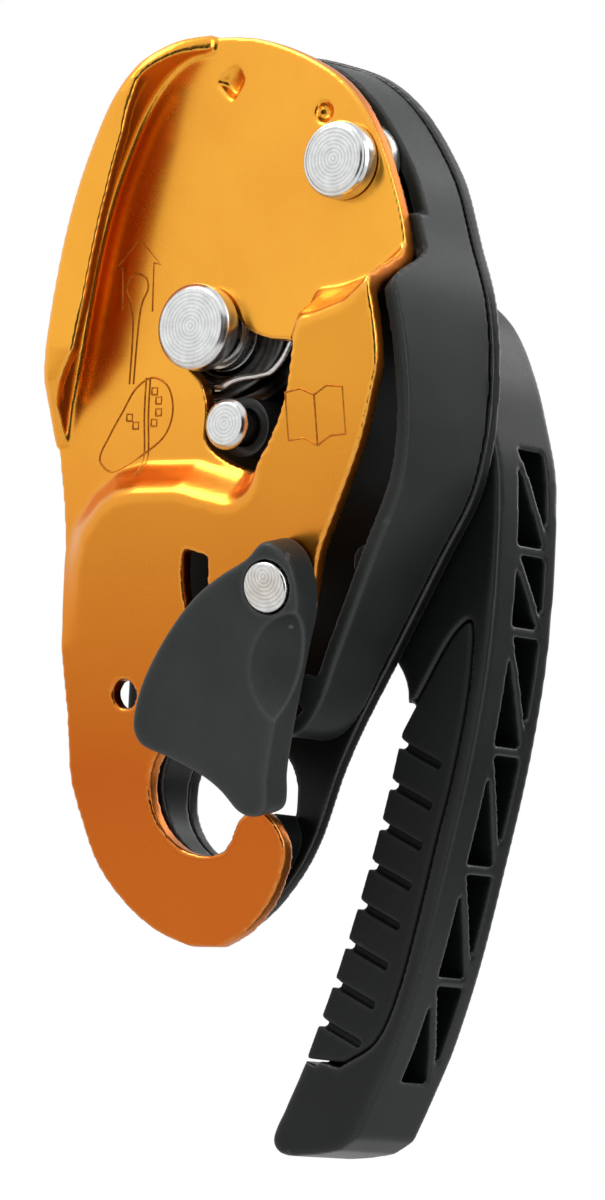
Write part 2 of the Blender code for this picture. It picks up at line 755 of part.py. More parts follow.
def build_tab_rivet(name, spot):
    """Small rivet that holds the wear strip to the fixed plate."""
    head = RIVET_DIA / 2 + 1.2
    front = FIXED_FRONT - GAP - TAB_THICK - 0.3
    profile = [
        (0, front - 1.2), (head - 0.5, front - 1.2), (head, front - 0.7), (head, front),
        (RIVET_DIA / 2, front), (RIVET_DIA / 2, FIXED_BACK - 0.05), (0, FIXED_BACK - 0.05),
    ]
    return turned(name, profile, spot, STEEL, steps=20)


def build_plate_rivet():
    """Hinge rivet of the moving plate, with a stepped turned head."""
    head = PIVOT_HEAD_DIA / 2
    shank = PIVOT_SHANK_DIA / 2
    profile = [
        (0, -PIVOT_HEAD_RISE), (head - 1.1, -PIVOT_HEAD_RISE), (head - 0.4, -PIVOT_HEAD_RISE + 0.3),
        (head, -PIVOT_HEAD_RISE + 1.0), (head, -GAP), (shank, -GAP), (shank, FIXED_BACK - 0.05),
        (0, FIXED_BACK - 0.05),
    ]
    return turned("plate_pivot_rivet", profile, PIVOT, STEEL, steps=48)


def build_stud():
    """Catch stud whose head holds the closed plate."""
    head = STUD_HEAD_DIA / 2
    neck = STUD_NECK_DIA / 2
    under = -STUD_HEAD_RISE + STUD_HEAD_EDGE
    profile = [
        (0, -STUD_HEAD_RISE), (head - STUD_CHAMFER, -STUD_HEAD_RISE),
        (head, -STUD_HEAD_RISE + STUD_CHAMFER), (head, under), (neck, under),
        (neck, FIXED_BACK - 0.05), (0, FIXED_BACK - 0.05),
    ]
    return turned("catch_stud", profile, STUD, STEEL, steps=40)


def tube(name, points, diameter, mat, resolution=1):
    """A wire through points in millimetres (x, depth, z), as one closed tube."""
    curve = bpy.data.curves.new(name, "CURVE")
    curve.dimensions = "3D"
    curve.bevel_depth = diameter / 2 * MM
    curve.bevel_resolution = resolution
    curve.use_fill_caps = True
    spline = curve.splines.new("POLY")
    spline.points.add(len(points) - 1)
    for point, (x, depth, z) in zip(spline.points, points):
        point.co = (x * MM, place(depth), z * MM, 1)
    item = bpy.data.objects.new(name, curve)
    PART.objects.link(item)
    return dress(baked(item), mat)


def coil(centre, radius, start_depth, pitch, start_angle, turns, per_turn=12, sense=1):
    """Points of a helix about a Y axis, from its front end to its back end."""
    points = []
    for i in range(int(turns * per_turn) + 1):
        angle = math.radians(start_angle) + sense * 2 * math.pi * i / per_turn
        points.append((
            centre[0] + radius * math.cos(angle),
            start_depth + pitch * i / per_turn,
            centre[1] + radius * math.sin(angle),
        ))
    return points


SPRING_LEG = [
    (-0.2, 64.9), (0.9, 65.0), (3.2, 66.1), (5.6, 66.6), (8.0, 66.8), (10.2, 67.3),
    (12.2, 69.0), (13.6, 71.2), (14.9, 74.4),
]


def build_cam_spring():
    """Wavy wire spring: a coil round its post and a leg that turns the cam."""
    radius = SPRING_POST_DIA / 2 + GAP + WIRE_DIA / 2
    leg = [(x, SPRING_DEPTH, z) for x, z in smooth_loop(SPRING_LEG, steps=3, closed=False)]
    turns = coil(SPRING_POST, radius, SPRING_DEPTH, SPRING_PITCH, 180, 3.25, sense=-1)
    report_gap("cam return spring", turns, WIRE_DIA, 6)
    return tube("cam_return_spring", leg + turns, WIRE_DIA, STEEL)


def report_gap(name, points, wire, apart):
    """Print the least gap of a wire to itself, between points some steps apart."""
    least = min(math.dist(points[i], points[j])
                for i in range(len(points)) for j in range(i + apart, len(points)))
    print("least gap in", name, round(least - wire, 2), "mm")


TILT = math.atan(RAISE_SLOPE)
GATE_DEPTH = raised_depth(GATE[1])


def lean(item):
    """Lean a piece built flat onto the plane of the raised face, about the gate hinge."""
    pivot = Vector((0, place(GATE_DEPTH), GATE[1] * MM))
    turn = Matrix.Translation(pivot) @ Matrix.Rotation(TILT, 4, "X") @ Matrix.Translation(-pivot)
    item.data.transform(turn)
    return item


GATE_LINE = [
    (26.0, 36.0), (24.0, 39.2), (21.0, 40.4), (17.4, 37.6), (12.5, 35.2), (7.4, 32.0), (2.7, 27.6),
    (-1.6, 22.4), (-4.8, 17.4), (-6.7, 12.6), (-6.9, 10.0), (-5.6, 7.8), (-0.3, 5.8),
    (6.0, 2.9), (9.5, 0.4), (12.3, -2.6), (15.3, -3.5), (17.6, -2.2), (18.3, 3.0),
    (20.6, 11.2), (24.3, 22.6), (26.6, 30.0),
]


def build_gate():
    """Moulded gate over the eye, with a thumb scoop and a spring pocket."""
    front = GATE_DEPTH - GATE_LIFT - GATE_THICK
    back = GATE_DEPTH - GATE_LIFT
    item = plate("safety_gate", [smooth_loop(GATE_LINE, steps=2)], front, back)
    item = soften(item, 1.1, 2, 50)
    head = drill("gate_head_hole", GATE, GATE_RIVET_DIA + 2 * GAP, front - 5, front + 2.6)
    shank = drill("gate_bore", GATE, GATE_SHANK_DIA + 2 * GAP, front - 5, back + 5, 24)
    pocket = drill("spring_pocket", GATE, 11.4, back - 3.6, back + 5, 32)
    spot = (GATE[0] + GATE_PIN_REACH * math.cos(math.radians(GATE_PIN_ANGLE)),
            GATE[1] + GATE_PIN_REACH * math.sin(math.radians(GATE_PIN_ANGLE)))
    pin_hole = drill("pin_hole", spot, 3.0, back - 3.2, back + 5, 20)
    work = bmesh.new()
    bmesh.ops.create_uvsphere(work, u_segments=32, v_segments=20, radius=13.5 * MM)
    mesh = bpy.data.meshes.new("thumb_scoop")
    work.to_mesh(mesh)
    work.free()
    scoop = hide_cutter(add_object("thumb_scoop", mesh, CUTTERS))
    scoop.location = (28.0 * MM, place(front - 10.6), 19.0 * MM)
    cut(item, head, shank, pocket, pin_hole, scoop)
    item = lean(dress(baked(item), GATE_GREY))
    return set_origin(item, GATE, GATE_DEPTH)


def build_gate_rivet():
    """Rivet that hinges the gate on the moving plate."""
    front = GATE_DEPTH - GATE_LIFT - GATE_THICK
    head = GATE_RIVET_DIA / 2
    shank = GATE_SHANK_DIA / 2 - 0.1
    profile = [
        (0, front - 0.5), (head - 0.3, front - 0.5), (head, front - 0.2), (head, front + 2.3),
        (shank, front + 2.3), (shank, GATE_DEPTH + PLATE_THICK - 0.2),
        (0, GATE_DEPTH + PLATE_THICK - 0.2),
    ]
    return lean(turned("gate_rivet", profile, GATE, STEEL, steps=36))


def build_gate_pin():
    """Stop pin of the gate, which runs in the plate's curved slot."""
    turn = math.radians(GATE_PIN_ANGLE)
    spot = (GATE[0] + GATE_PIN_REACH * math.cos(turn), GATE[1] + GATE_PIN_REACH * math.sin(turn))
    back = GATE_DEPTH - GATE_LIFT
    profile = [(0, back - 2.9), (1.2, back - 2.9), (1.2, back + 2.6), (0, back + 2.6)]
    return lean(turned("gate_stop_pin", profile, spot, STEEL, steps=20))


def build_gate_spring():
    """Small torsion spring round the gate rivet."""
    start = GATE_DEPTH - GATE_LIFT - 3.1
    wire = 0.7
    turns = coil(GATE, 4.2, start, 1.15, 20, 2.1)
    report_gap("gate spring", turns, wire, 6)
    return lean(tube("gate_spring", turns, wire, STEEL))


# Handle outline seen from the front, clockwise from the top of the hub
HANDLE_RIGHT = [
    (-9.0, 89.4), (0.0, 92.4), (10.0, 91.8), (20.0, 88.2), (28.6, 82.8), (34.4, 77.6),
    (38.6, 69.8), (41.4, 61.6), (43.6, 53.0), (44.1, 40.0), (43.9, 30.0), (43.1, 20.0),
    (40.8, 5.4), (37.2, -10.9), (33.8, -25.0), (29.6, -38.2), (26.2, -46.0), (22.6, -53.6),
]
GRIP_EDGE = [(12.2, -41.2), (17.2, -27.6), (21.3, -14.4), (24.8, -1.0), (27.4, 11.2)]
HANDLE_FOOT = [(19.0, -55.8), (13.0, -56.7), (8.0, -56.6), (6.4, -54.4), (8.6, -49.2)]
HANDLE_NECK = [
    (28.2, 15.6), (27.6, 19.4), (25.0, 23.4), (18.0, 34.0), (9.0, 46.0), (0.0, 55.6),
    (-9.0, 60.4), (-15.8, 66.0), (-18.4, 74.0), (-15.8, 83.6),
]
HANDLE_LEFT = HANDLE_FOOT + GRIP_EDGE + HANDLE_NECK
GRIP_RIGHT = [
    (31.0, 17.6), (36.4, 26.6), (39.6, 29.0), (40.0, 22.0), (39.2, 14.0), (37.2, 3.0),
    (35.0, -6.0), (32.4, -17.6), (29.0, -30.6), (25.4, -38.0), (19.6, -41.6),
]
BAY_HEIGHTS = [58.0, 41.0, 28.0, 9.0, -10.0, -28.0, -45.0]


def edge_at(line, z):
    """X of an edge line at a height, between its points."""
    for (x0, z0), (x1, z1) in zip(line, line[1:]):
        if (z0 - z) * (z1 - z) <= 0 and z0 != z1:
            return x0 + (x1 - x0) * (z - z0) / (z1 - z0)
    return line[-1][0]


def shrink(points, amount):
    """A convex polygon with every side moved inward."""
    lines = []
    count = len(points)
    middle = sum((Vector(p) for p in points), Vector((0, 0))) / count
    for index in range(count):
        start = Vector(points[index])
        along = (Vector(points[(index + 1) % count]) - start).normalized()
        normal = Vector((-along.y, along.x))
        if (middle - start).dot(normal) < 0:
            normal = -normal
        lines.append((start + normal * amount, along))
    result = []
    for index in range(count):
        p, d = lines[index - 1]
        q, e = lines[index]
        t = ((q.x - p.x) * e.y - (q.y - p.y) * e.x) / (d.x * e.y - d.y * e.x)
        result.append((p.x + d.x * t, p.y + d.y * t))
    return result


def truss_cell(name, corners, edge):
    """A cutter with a triangle of (depth, height) corners, run in from the right edge."""
    work = bmesh.new()
    for depth, z in corners:
        for x in (edge_at(edge, z) - CHANNEL_WIDTH, edge_at(edge, z) + 4.0):
            work.verts.new((x * MM, place(depth), z * MM))
    bmesh.ops.convex_hull(work, input=work.verts[:])
    mesh = bpy.data.meshes.new(name)
    work.to_mesh(mesh)
    work.free()
    return hide_cutter(add_object(name, mesh, CUTTERS))


def truss_cells():
    """Triangular pockets of the channel; the walls left between them are the ribs."""
    edge = smooth_loop(HANDLE_RIGHT, steps=3, closed=False)
    front = HANDLE_FRONT + GRIP_FRONT + GAP + HANDLE_WALL
    back = HANDLE_BACK - HANDLE_WALL
    cells = []
    for top, bottom in zip(BAY_HEIGHTS, BAY_HEIGHTS[1:]):
        rear = [(front, top), (back, top), (back, bottom)]
        fore = [(front, top), (back, bottom), (front, bottom)]
        for corners in (rear, fore):
            corners = shrink(corners, RIB_THICK / 2)
            cells.append(truss_cell("cell_%d" % len(cells), corners, edge))
    return cells


def lengthened(points, extra):
    """An open path made longer at both ends, straight on."""
    if not extra:
        return points
    first, second = Vector(points[0]), Vector(points[1])
    last, before = Vector(points[-1]), Vector(points[-2])
    start = first + (first - second).normalized() * extra
    end = last + (last - before).normalized() * extra
    return [tuple(start)] + points[1:-1] + [tuple(end)]


def grip_outlines(grow):
    """Front and side outlines of the grip pad, grown by a clearance for its seat."""
    left = lengthened(smooth_loop(GRIP_EDGE, steps=3, closed=False), grow)
    right = lengthened(smooth_loop(GRIP_RIGHT, steps=3, closed=False), 4 * grow)
    outside = offset_path(left, 6.0 if grow else 0.0)
    front = outside + offset_path(right, grow)
    far_outside = offset_path(left, 8.0 if grow else 0.0)
    side = far_outside + offset_path(left, -GRIP_SIDE - grow)[::-1]
    return front, side


def slot_places():
    """Points spaced evenly down the left edge of the grip."""
    line = smooth_loop(GRIP_EDGE, steps=12, closed=False)[::-1]
    spans = [math.dist(a, b) for a, b in zip(line, line[1:])]
    first, last = 0.03, 0.88
    spots = []
    for number in range(SLOT_COUNT):
        goal = sum(spans) * (first + (last - first) * number / (SLOT_COUNT - 1))
        for (a, b), span in zip(zip(line, line[1:]), spans):
            if goal <= span:
                t = goal / span
                spots.append((a[0] + (b[0] - a[0]) * t, a[1] + (b[1] - a[1]) * t))
                break
            goal -= span
    return spots


def bar(spot, angle, start, length, width):
    """A slanted rectangle that starts beside a point."""
    turn = math.radians(angle)
    along = Vector((math.cos(turn), math.sin(turn)))
    side = Vector((-along.y, along.x)) * (width / 2)
    near = Vector(spot) + along * start
    far = near + along * length
    return [tuple(near + side), tuple(far + side), tuple(far - side), tuple(near - side)]


def build_grip():
    """Soft pad over the front and left side of the lever, with finger slots."""
    front, _ = grip_outlines(0.0)
    item = plate("handle_grip", [front], HANDLE_FRONT, HANDLE_FRONT + GRIP_DEPTH)
    left = lengthened(smooth_loop(GRIP_EDGE, steps=3, closed=False), -GAP)
    inner = offset_path(left, -GRIP_SIDE)
    outer = offset_path(left, 5.0)
    start, end = outer[0], outer[-1]
    rest = [end, (end[0], 60), (70, 60), (70, -70), (start[0], -70), start]
    core = plate("grip_core", [inner + rest], HANDLE_FRONT + GRIP_FRONT,
                 HANDLE_FRONT + GRIP_DEPTH + 5, collection=CUTTERS)
    cutters = [core]
    for i, spot in enumerate(slot_places()):
        slit = bar(spot, SLOT_ANGLE, -3.0, SLOT_LENGTH + 3.0, SLOT_WIDTH)
        cutters.append(plate("slot_%d" % i, [slit], HANDLE_FRONT - 2, HANDLE_FRONT + SLOT_DEPTH,
                             collection=CUTTERS))
        nick = bar(spot, SLOT_ANGLE, -3.5, 4.4, SLOT_WIDTH + 0.3)
        cutters.append(plate("nick_%d" % i, [nick], HANDLE_FRONT - 2, HANDLE_FRONT + 6.5,
                             collection=CUTTERS))
    cut(item, *cutters)
    return set_origin(dress(baked(item), GRIP_BLACK), AXLE, HANDLE_FRONT)


def build_handle():
    """Lever with a hub at the axle and a ribbed channel along its right side."""
    outline = smooth_loop(HANDLE_RIGHT, steps=3, closed=False)
    outline += smooth_loop(HANDLE_LEFT, steps=3, closed=False)
    item = plate("handle_lever", [outline], HANDLE_FRONT, HANDLE_BACK)
    item = soften(item, 1.6, 2, 60)
    cells = truss_cells()
    front, side = grip_outlines(GAP)
    seat = plate("grip_seat", [front], HANDLE_FRONT - 5, HANDLE_FRONT + GRIP_FRONT + GAP,
                 collection=CUTTERS)
    wrap = plate("grip_side_seat", [side], HANDLE_FRONT - 7, HANDLE_FRONT + GRIP_DEPTH + GAP,
                 collection=CUTTERS)
    spring, bore, nut = SPRING_POCKET_DIA / 2, HUB_BORE_DIA / 2, NUT_POCKET_DIA / 2
    floor = HANDLE_FRONT + SPRING_POCKET_DEPTH
    profile = [(0, 0), (spring, 0), (spring, floor), (bore, floor), (bore, HUB_BACK),
               (nut, HUB_BACK), (nut, 90), (0, 90)]
    hub = turned("hub_bores", profile, AXLE, collection=CUTTERS)
    cut(item, *cells, seat, wrap, hub)
    return set_origin(dress(baked(item), MOULDED), AXLE, HANDLE_FRONT)


def build_handle_spring():
    """Return spring of the handle, wound round the axle inside the hub."""
    pitch = 1.8
    start = HANDLE_FRONT + 0.9
    turns = coil(AXLE, 6.9, start, pitch, 90, 3.0, 14)
    report_gap("handle return spring", turns, WIRE_DIA, 7)
    return tube("handle_return_spring", turns, WIRE_DIA, STEEL)


def build_axle_nut():
    """Six-sided nut on the back end of the axle."""
    across = 8.2
    outline = [
        (AXLE[0] + across * math.cos(math.radians(60 * i)),
         AXLE[1] + across * math.sin(math.radians(60 * i)))
        for i in range(6)
    ]
    bore = circle(AXLE, AXLE_NECK_DIA / 2 + GAP, 36)
    front = HUB_BACK + GAP + 0.8 + GAP
    item = plate("axle_nut", [outline, bore], front, front + 3.0)
    return dress(item, STEEL)


def build_all():
    """Build every piece, in the order in which it is put together."""
    block = swing_block("behind_plate", GAP)
    far_block = swing_block("behind_hook", SWING_GAP)
    build_fixed_plate()
    build_housing(block)
    build_spacer(far_block)
    build_friction_plate()
    for i, spot in enumerate(TAB_RIVETS):
        build_tab_rivet("tab_rivet_%d" % (i + 1), spot)
    for i, spot in enumerate(SCREWS):
        screw_shape("housing_screw_%d" % (i + 1), spot, 0.0, mat=STEEL)
    build_axle()
    build_stud()
    ring_front = PLATE_BACK + 0.9
    ring("stud_ring", STUD, STUD_NECK_DIA + 2 * GAP, STUD_RING_DIA, ring_front,
         FIXED_FRONT - GAP, BLACK)
    profile = [(0, PLATE_BACK + 0.5), (SPRING_POST_DIA / 2, PLATE_BACK + 0.5),
               (SPRING_POST_DIA / 2, FIXED_FRONT - GAP), (0, FIXED_FRONT - GAP)]
    turned("spring_post", profile, SPRING_POST, STEEL, steps=20)
    build_cam_spring()
    cam_front = CAM_FRONT - 0.3
    ring("cam_washer", AXLE, AXLE_NECK_DIA + 2 * GAP, 12.4, PLATE_BACK + 0.5, cam_front, STEEL)
    build_cam()
    bush = AXLE_NECK_DIA + 2 * GAP
    ring("cam_bush", AXLE, bush, bush + 2 * (CAM_BUSH_WALL - GAP), CAM_FRONT,
         CAM_FRONT + CAM_WIDTH, STEEL)
    pin = [(0, PLATE_BACK + 0.5), (1.2, PLATE_BACK + 0.5), (1.2, CAM_FRONT - GAP), (0, CAM_FRONT - GAP)]
    turned("cam_pin", pin, CAM_PIN, STEEL, steps=16)
    ring("release_collar", AXLE, AXLE_NECK_DIA + 2 * GAP, COLLAR_DIA,
         CAM_FRONT + CAM_WIDTH + 0.4, HANDLE_FRONT - GAP, STEEL)
    build_moving_plate()
    build_plate_rivet()
    ring("pivot_washer", PIVOT, PIVOT_SHANK_DIA + 2 * GAP, PIVOT_WASHER_DIA, PLATE_BACK + GAP,
         WALL_TOP_DEPTH - GAP, STEEL)
    ring("pivot_bush", PIVOT, PIVOT_SHANK_DIA + 2 * GAP, PIVOT_BUSH_DIA, WALL_TOP_DEPTH,
         FIXED_FRONT - GAP, STEEL)
    build_gate()
    build_gate_rivet()
    build_gate_pin()
    build_gate_spring()
    build_handle()
    build_grip()
    build_handle_spring()
    ring("hub_washer", AXLE, AXLE_NECK_DIA + 2 * GAP, 17.0, HUB_BACK + GAP, HUB_BACK + GAP + 0.8,
         STEEL)
    build_axle_nut()


build_all()
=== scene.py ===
"""Looks of the self-braking rope descender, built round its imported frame.

Sizes are in millimetres in the row's frame: X to the right and Z up, seen from the
front, with the origin in the attachment eye. A depth is counted from the upper front
face of the moving side plate, positive towards the handle at the back.
"""
import logging
import math
from dataclasses import dataclass
from enum import Enum
from functools import cached_property
from typing import Callable, Iterable, Optional, Sequence

import bmesh
import bpy
from mathutils import Matrix, Vector

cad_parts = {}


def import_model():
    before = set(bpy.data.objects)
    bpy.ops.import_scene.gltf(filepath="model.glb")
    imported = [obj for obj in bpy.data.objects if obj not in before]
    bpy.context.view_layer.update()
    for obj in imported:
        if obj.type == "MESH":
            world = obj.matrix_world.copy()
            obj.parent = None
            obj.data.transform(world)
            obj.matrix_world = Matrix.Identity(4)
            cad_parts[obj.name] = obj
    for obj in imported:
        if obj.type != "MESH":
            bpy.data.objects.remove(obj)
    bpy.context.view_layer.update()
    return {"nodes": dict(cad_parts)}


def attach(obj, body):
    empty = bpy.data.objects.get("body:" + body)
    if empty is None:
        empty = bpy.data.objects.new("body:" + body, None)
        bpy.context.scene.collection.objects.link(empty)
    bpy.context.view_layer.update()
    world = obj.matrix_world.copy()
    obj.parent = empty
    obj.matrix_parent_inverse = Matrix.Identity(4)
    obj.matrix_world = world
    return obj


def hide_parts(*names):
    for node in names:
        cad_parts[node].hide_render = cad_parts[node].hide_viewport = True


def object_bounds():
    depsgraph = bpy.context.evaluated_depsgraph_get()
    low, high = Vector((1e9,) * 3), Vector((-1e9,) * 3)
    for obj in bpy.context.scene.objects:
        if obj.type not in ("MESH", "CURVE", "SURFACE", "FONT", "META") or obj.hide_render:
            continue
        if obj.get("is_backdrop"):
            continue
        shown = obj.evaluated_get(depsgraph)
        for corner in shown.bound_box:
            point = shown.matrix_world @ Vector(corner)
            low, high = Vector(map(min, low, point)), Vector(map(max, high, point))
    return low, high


MM = 0.001
EYE_DEPTH = 12.4
WELD = 2e-6
SEAM = 1e-5
TINY = 1e-6
FLAT_ANGLE = 0.6
EDGE_ANGLE = 40.0
TURNED_ANGLE = 25.0
CLEAR_FRONT = -40.0
LOG = logging.getLogger("descender")

Point = tuple[float, float]
Loop = list[Point]
Floats = Sequence[float]
Item = bpy.types.Object
Socket = bpy.types.NodeSocket
Material = bpy.types.Material


# Drawing aids


def at(x: float, depth: float, z: float) -> tuple[float, float, float]:
    """The place in metres of X, depth and Z in millimetres."""
    return x * MM, (depth - EYE_DEPTH) * MM, z * MM


def polar(centre: Point, radius: float, angle: float) -> Point:
    """The point at a distance and an angle in radians from a centre."""
    return centre[0] + radius * math.cos(angle), centre[1] + radius * math.sin(angle)


def circle(centre: Point, radius: float, count: int = 72) -> Loop:
    """Points of a circle."""
    return [polar(centre, radius, 2 * math.pi / count * i) for i in range(count)]


def arc(centre: Point, radius: float, start: float, end: float, count: int = 28) -> Loop:
    """Points of an arc between two angles in degrees."""
    return [polar(centre, radius, math.radians(start + (end - start) * i / count))
            for i in range(count + 1)]


def smooth_loop(points: Sequence[Point], steps: int = 6, closed: bool = True,
                corners: Sequence[int] = ()) -> Loop:
    """Points on a smooth curve through the given ones.

    Args:
        points: Points that the curve passes through.
        steps: Number of points made for each given one.
        closed: Whether the curve comes back to its first point.
        corners: Numbers of the points that stay sharp.

    Returns:
        The points of the curve.
    """
    count = len(points)
    result: Loop = []
    for index in range(count if closed else count - 1):
        start = Vector(points[index])
        end = Vector(points[(index + 1) % count])
        before = Vector(points[index - 1]) if closed or index > 0 else start
        further = index + 2
        after = Vector(points[further % count]) if closed or further < count else end
        if index in corners:
            before = start
        if (index + 1) % count in corners:
            after = end
        span = (end - start).length
        lead = (end - before) * (span / max((start - before).length + span, TINY))
        trail = (after - start) * (span / max((after - end).length + span, TINY))
        for step in range(steps):
            t = step / steps
            value = (start * (2 * t**3 - 3 * t**2 + 1) + lead * (t**3 - 2 * t**2 + t)
                     + end * (-2 * t**3 + 3 * t**2) + trail * (t**3 - t**2))
            result.append((value.x, value.y))
    if not closed:
        result.append(tuple(points[-1]))
    return result


def open_curve(points: Sequence[Point], steps: int = 6) -> Loop:
    """Points on a smooth open curve through the given ones."""
    return smooth_loop(points, steps, closed=False)


def direction(points: Sequence[Point], index: int) -> Vector:
    """Direction of an open path at one of its points."""
    ahead = Vector(points[min(index + 1, len(points) - 1)])
    return (ahead - Vector(points[max(index - 1, 0)])).normalized()


def offset_path(points: Sequence[Point], distance: float) -> Loop:
    """An open path moved sideways, to its left for a positive distance.

    Args:
        points: Points of the path.
        distance: How far it is moved, in millimetres.

    Returns:
        The moved path.
    """
    result: Loop = []
    for index, point in enumerate(points):
        along = direction(points, index)
        result.append(tuple(Vector(point) + Vector((-along.y, along.x)) * distance))
    return result


def lengthened(points: Loop, extra: float) -> Loop:
    """An open path made longer at both ends, straight on.

    Args:
        points: Points of the path.
        extra: Length added at each end.

    Returns:
        The longer path.
    """
    ends = [Vector(end) + (Vector(end) - Vector(beside)).normalized() * extra
            for end, beside in ((points[0], points[1]), (points[-1], points[-2]))]
    return [tuple(ends[0])] + points[1:-1] + [tuple(ends[1])]


# Mesh tools


def link(name: str, data: bpy.types.ID) -> Item:
    """A new object in the scene.

    Args:
        name: Name of the object.
        data: Its mesh, curve, lamp or camera.

    Returns:
        The object.
    """
    item = bpy.data.objects.new(name, data)
    bpy.context.scene.collection.objects.link(item)
    return item


def finished_mesh(work: bmesh.types.BMesh, name: str) -> Item:
    """A new object that holds a finished bmesh.

    Args:
        work: The bmesh, which is freed.
        name: Name of the object.

    Returns:
        The mesh object.
    """
    bmesh.ops.recalc_face_normals(work, faces=work.faces)
    mesh = bpy.data.meshes.new(name)
    work.to_mesh(mesh)
    work.free()
    return link(name, mesh)


def baked(item: Item) -> Item:
    """Replace an object by the mesh that its curve and modifiers give.

    Args:
        item: The object, which is removed.

    Returns:
        The mesh object, under the same name.
    """
    bpy.context.view_layer.update()
    graph = bpy.context.evaluated_depsgraph_get()
    mesh = bpy.data.meshes.new_from_object(item.evaluated_get(graph))
    mesh.transform(item.matrix_world)
    work = bmesh.new()
    work.from_mesh(mesh)
    bmesh.ops.remove_doubles(work, verts=work.verts, dist=WELD)
    bmesh.ops.recalc_face_normals(work, faces=work.faces)
    work.to_mesh(mesh)
    work.free()
    name = item.name
    bpy.data.objects.remove(item, do_unlink=True)
    mesh.materials.clear()
    return link(name, mesh)


def new_curve(name: str, kind: str, paths: Sequence[Sequence[Floats]],
              closed: bool) -> bpy.types.Curve:
    """A flat or spatial curve of straight lines through points in metres.

    Args:
        name: Name of the curve.
        kind: 2D or 3D.
        paths: One list of points for each line.
        closed: Whether each line comes back to its first point.

    Returns:
        The curve.
    """
    curve = bpy.data.curves.new(name, "CURVE")
    curve.dimensions = kind
    for path in paths:
        spline = curve.splines.new("POLY")
        spline.points.add(len(path) - 1)
        for point, spot in zip(spline.points, path):
            point.co = (*spot, 1)
        spline.use_cyclic_u = closed
    return curve


def plate(name: str, loops: Sequence[Loop], front: float, back: float) -> Item:
    """A flat outline with holes, in X and Z, made solid between two depths.

    Args:
        name: Name of the object.
        loops: The outline and its holes.
        front: Depth of the front face.
        back: Depth of the back face.

    Returns:
        The plate as a mesh object.
    """
    curve = new_curve(name, "2D", [[(x * MM, z * MM, 0) for x, z in loop] for loop in loops], True)
    curve.fill_mode = "BOTH"
    curve.extrude = (back - front) / 2 * MM
    item = link(name, curve)
    item.rotation_euler = (math.pi / 2, 0, 0)
    item.location = at(0, (front + back) / 2, 0)
    return baked(item)


def tube(name: str, paths: Sequence[Sequence[Floats]], radius: float, rounds: int = 4,
         closed: bool = False) -> Item:
    """Round wires through points of X, depth and Z.

    Args:
        name: Name of the object.
        paths: One list of points for each wire.
        radius: Radius of the wire.
        rounds: How finely the wire is rounded.
        closed: Whether each wire comes back to its first point.

    Returns:
        All wires as one mesh object.
    """
    curve = new_curve(name, "3D", [[at(*point) for point in path] for path in paths], closed)
    curve.bevel_depth = radius * MM
    curve.bevel_resolution = rounds
    curve.use_fill_caps = not closed
    return baked(link(name, curve))


def turned(name: str, profile: Sequence[Point], centre: Point, steps: int = 96) -> Item:
    """A round piece made by turning a profile about a Y axis.

    Args:
        name: Name of the object.
        profile: Pairs of radius and depth, from front to back.
        centre: X and Z of the axis.
        steps: Number of steps round the piece.

    Returns:
        The turned piece as a mesh object.
    """
    work = bmesh.new()
    verts = [work.verts.new((r * MM, 0, -d * MM)) for r, d in profile]
    for first, second in zip(verts, verts[1:]):
        work.edges.new((first, second))
    item = finished_mesh(work, name)
    screw = item.modifiers.new("turn", "SCREW")
    screw.axis = "Z"
    screw.steps = screw.render_steps = steps
    screw.use_merge_vertices = True
    screw.merge_threshold = SEAM
    item.rotation_euler = (math.pi / 2, 0, 0)
    item.location = at(centre[0], 0, centre[1])
    return baked(item)


def cylinder(name: str, radius: float, front: float, back: float, centre: Point,
             steps: int = 40) -> Item:
    """A plain round block between two depths, to add or to cut with."""
    return turned(name, [(0, front), (radius, front), (radius, back), (0, back)], centre, steps)


def hull(name: str, points: Iterable[Floats]) -> Item:
    """The smallest closed form round points given as X, depth and Z.

    Args:
        name: Name of the object.
        points: Points that the form goes round.

    Returns:
        The form as a mesh object.
    """
    work = bmesh.new()
    for point in points:
        work.verts.new(at(*point))
    bmesh.ops.convex_hull(work, input=work.verts[:])
    return finished_mesh(work, name)


def merged(items: Sequence[Item]) -> Item:
    """Objects that don't touch each other as one, in the place of the first.

    Args:
        items: The objects, which are removed.

    Returns:
        The one object.
    """
    work = bmesh.new()
    for item in items:
        mesh = item.data.copy()
        mesh.transform(item.matrix_world)
        work.from_mesh(mesh)
    for item in items:
        bpy.data.objects.remove(item, do_unlink=True)
    return finished_mesh(work, "merged")


def cut(item: Item, cutters: Iterable[Item], operation: str = "DIFFERENCE") -> Item:
    """Cut an object with others in turn, which are used up.

    Args:
        item: The object.
        cutters: What it is cut with or joined to.
        operation: DIFFERENCE, UNION or INTERSECT.

    Returns:
        The object after all cuts.
    """
    for cutter in cutters:
        mod = item.modifiers.new("cut", "BOOLEAN")
        mod.operation = operation
        mod.solver = "EXACT"
        mod.object = cutter
        item = baked(item)
        bpy.data.objects.remove(cutter, do_unlink=True)
    return item


def moulded(item: Item, voxel: float, rounds: int) -> Item:
    """Soften all edges of a piece, as casting and tumbling leave them.

    Args:
        item: The piece with sharp edges.
        voxel: Size of the cells it is remade from, in millimetres.
        rounds: Number of smoothing rounds.

    Returns:
        The softened piece.
    """
    remesh = item.modifiers.new("remesh", "REMESH")
    remesh.mode = "VOXEL"
    remesh.voxel_size = voxel * MM
    smooth = item.modifiers.new("smooth", "SMOOTH")
    smooth.factor = 0.5
    smooth.iterations = rounds
    item = baked(item)
    item.data.shade_smooth()
    return item


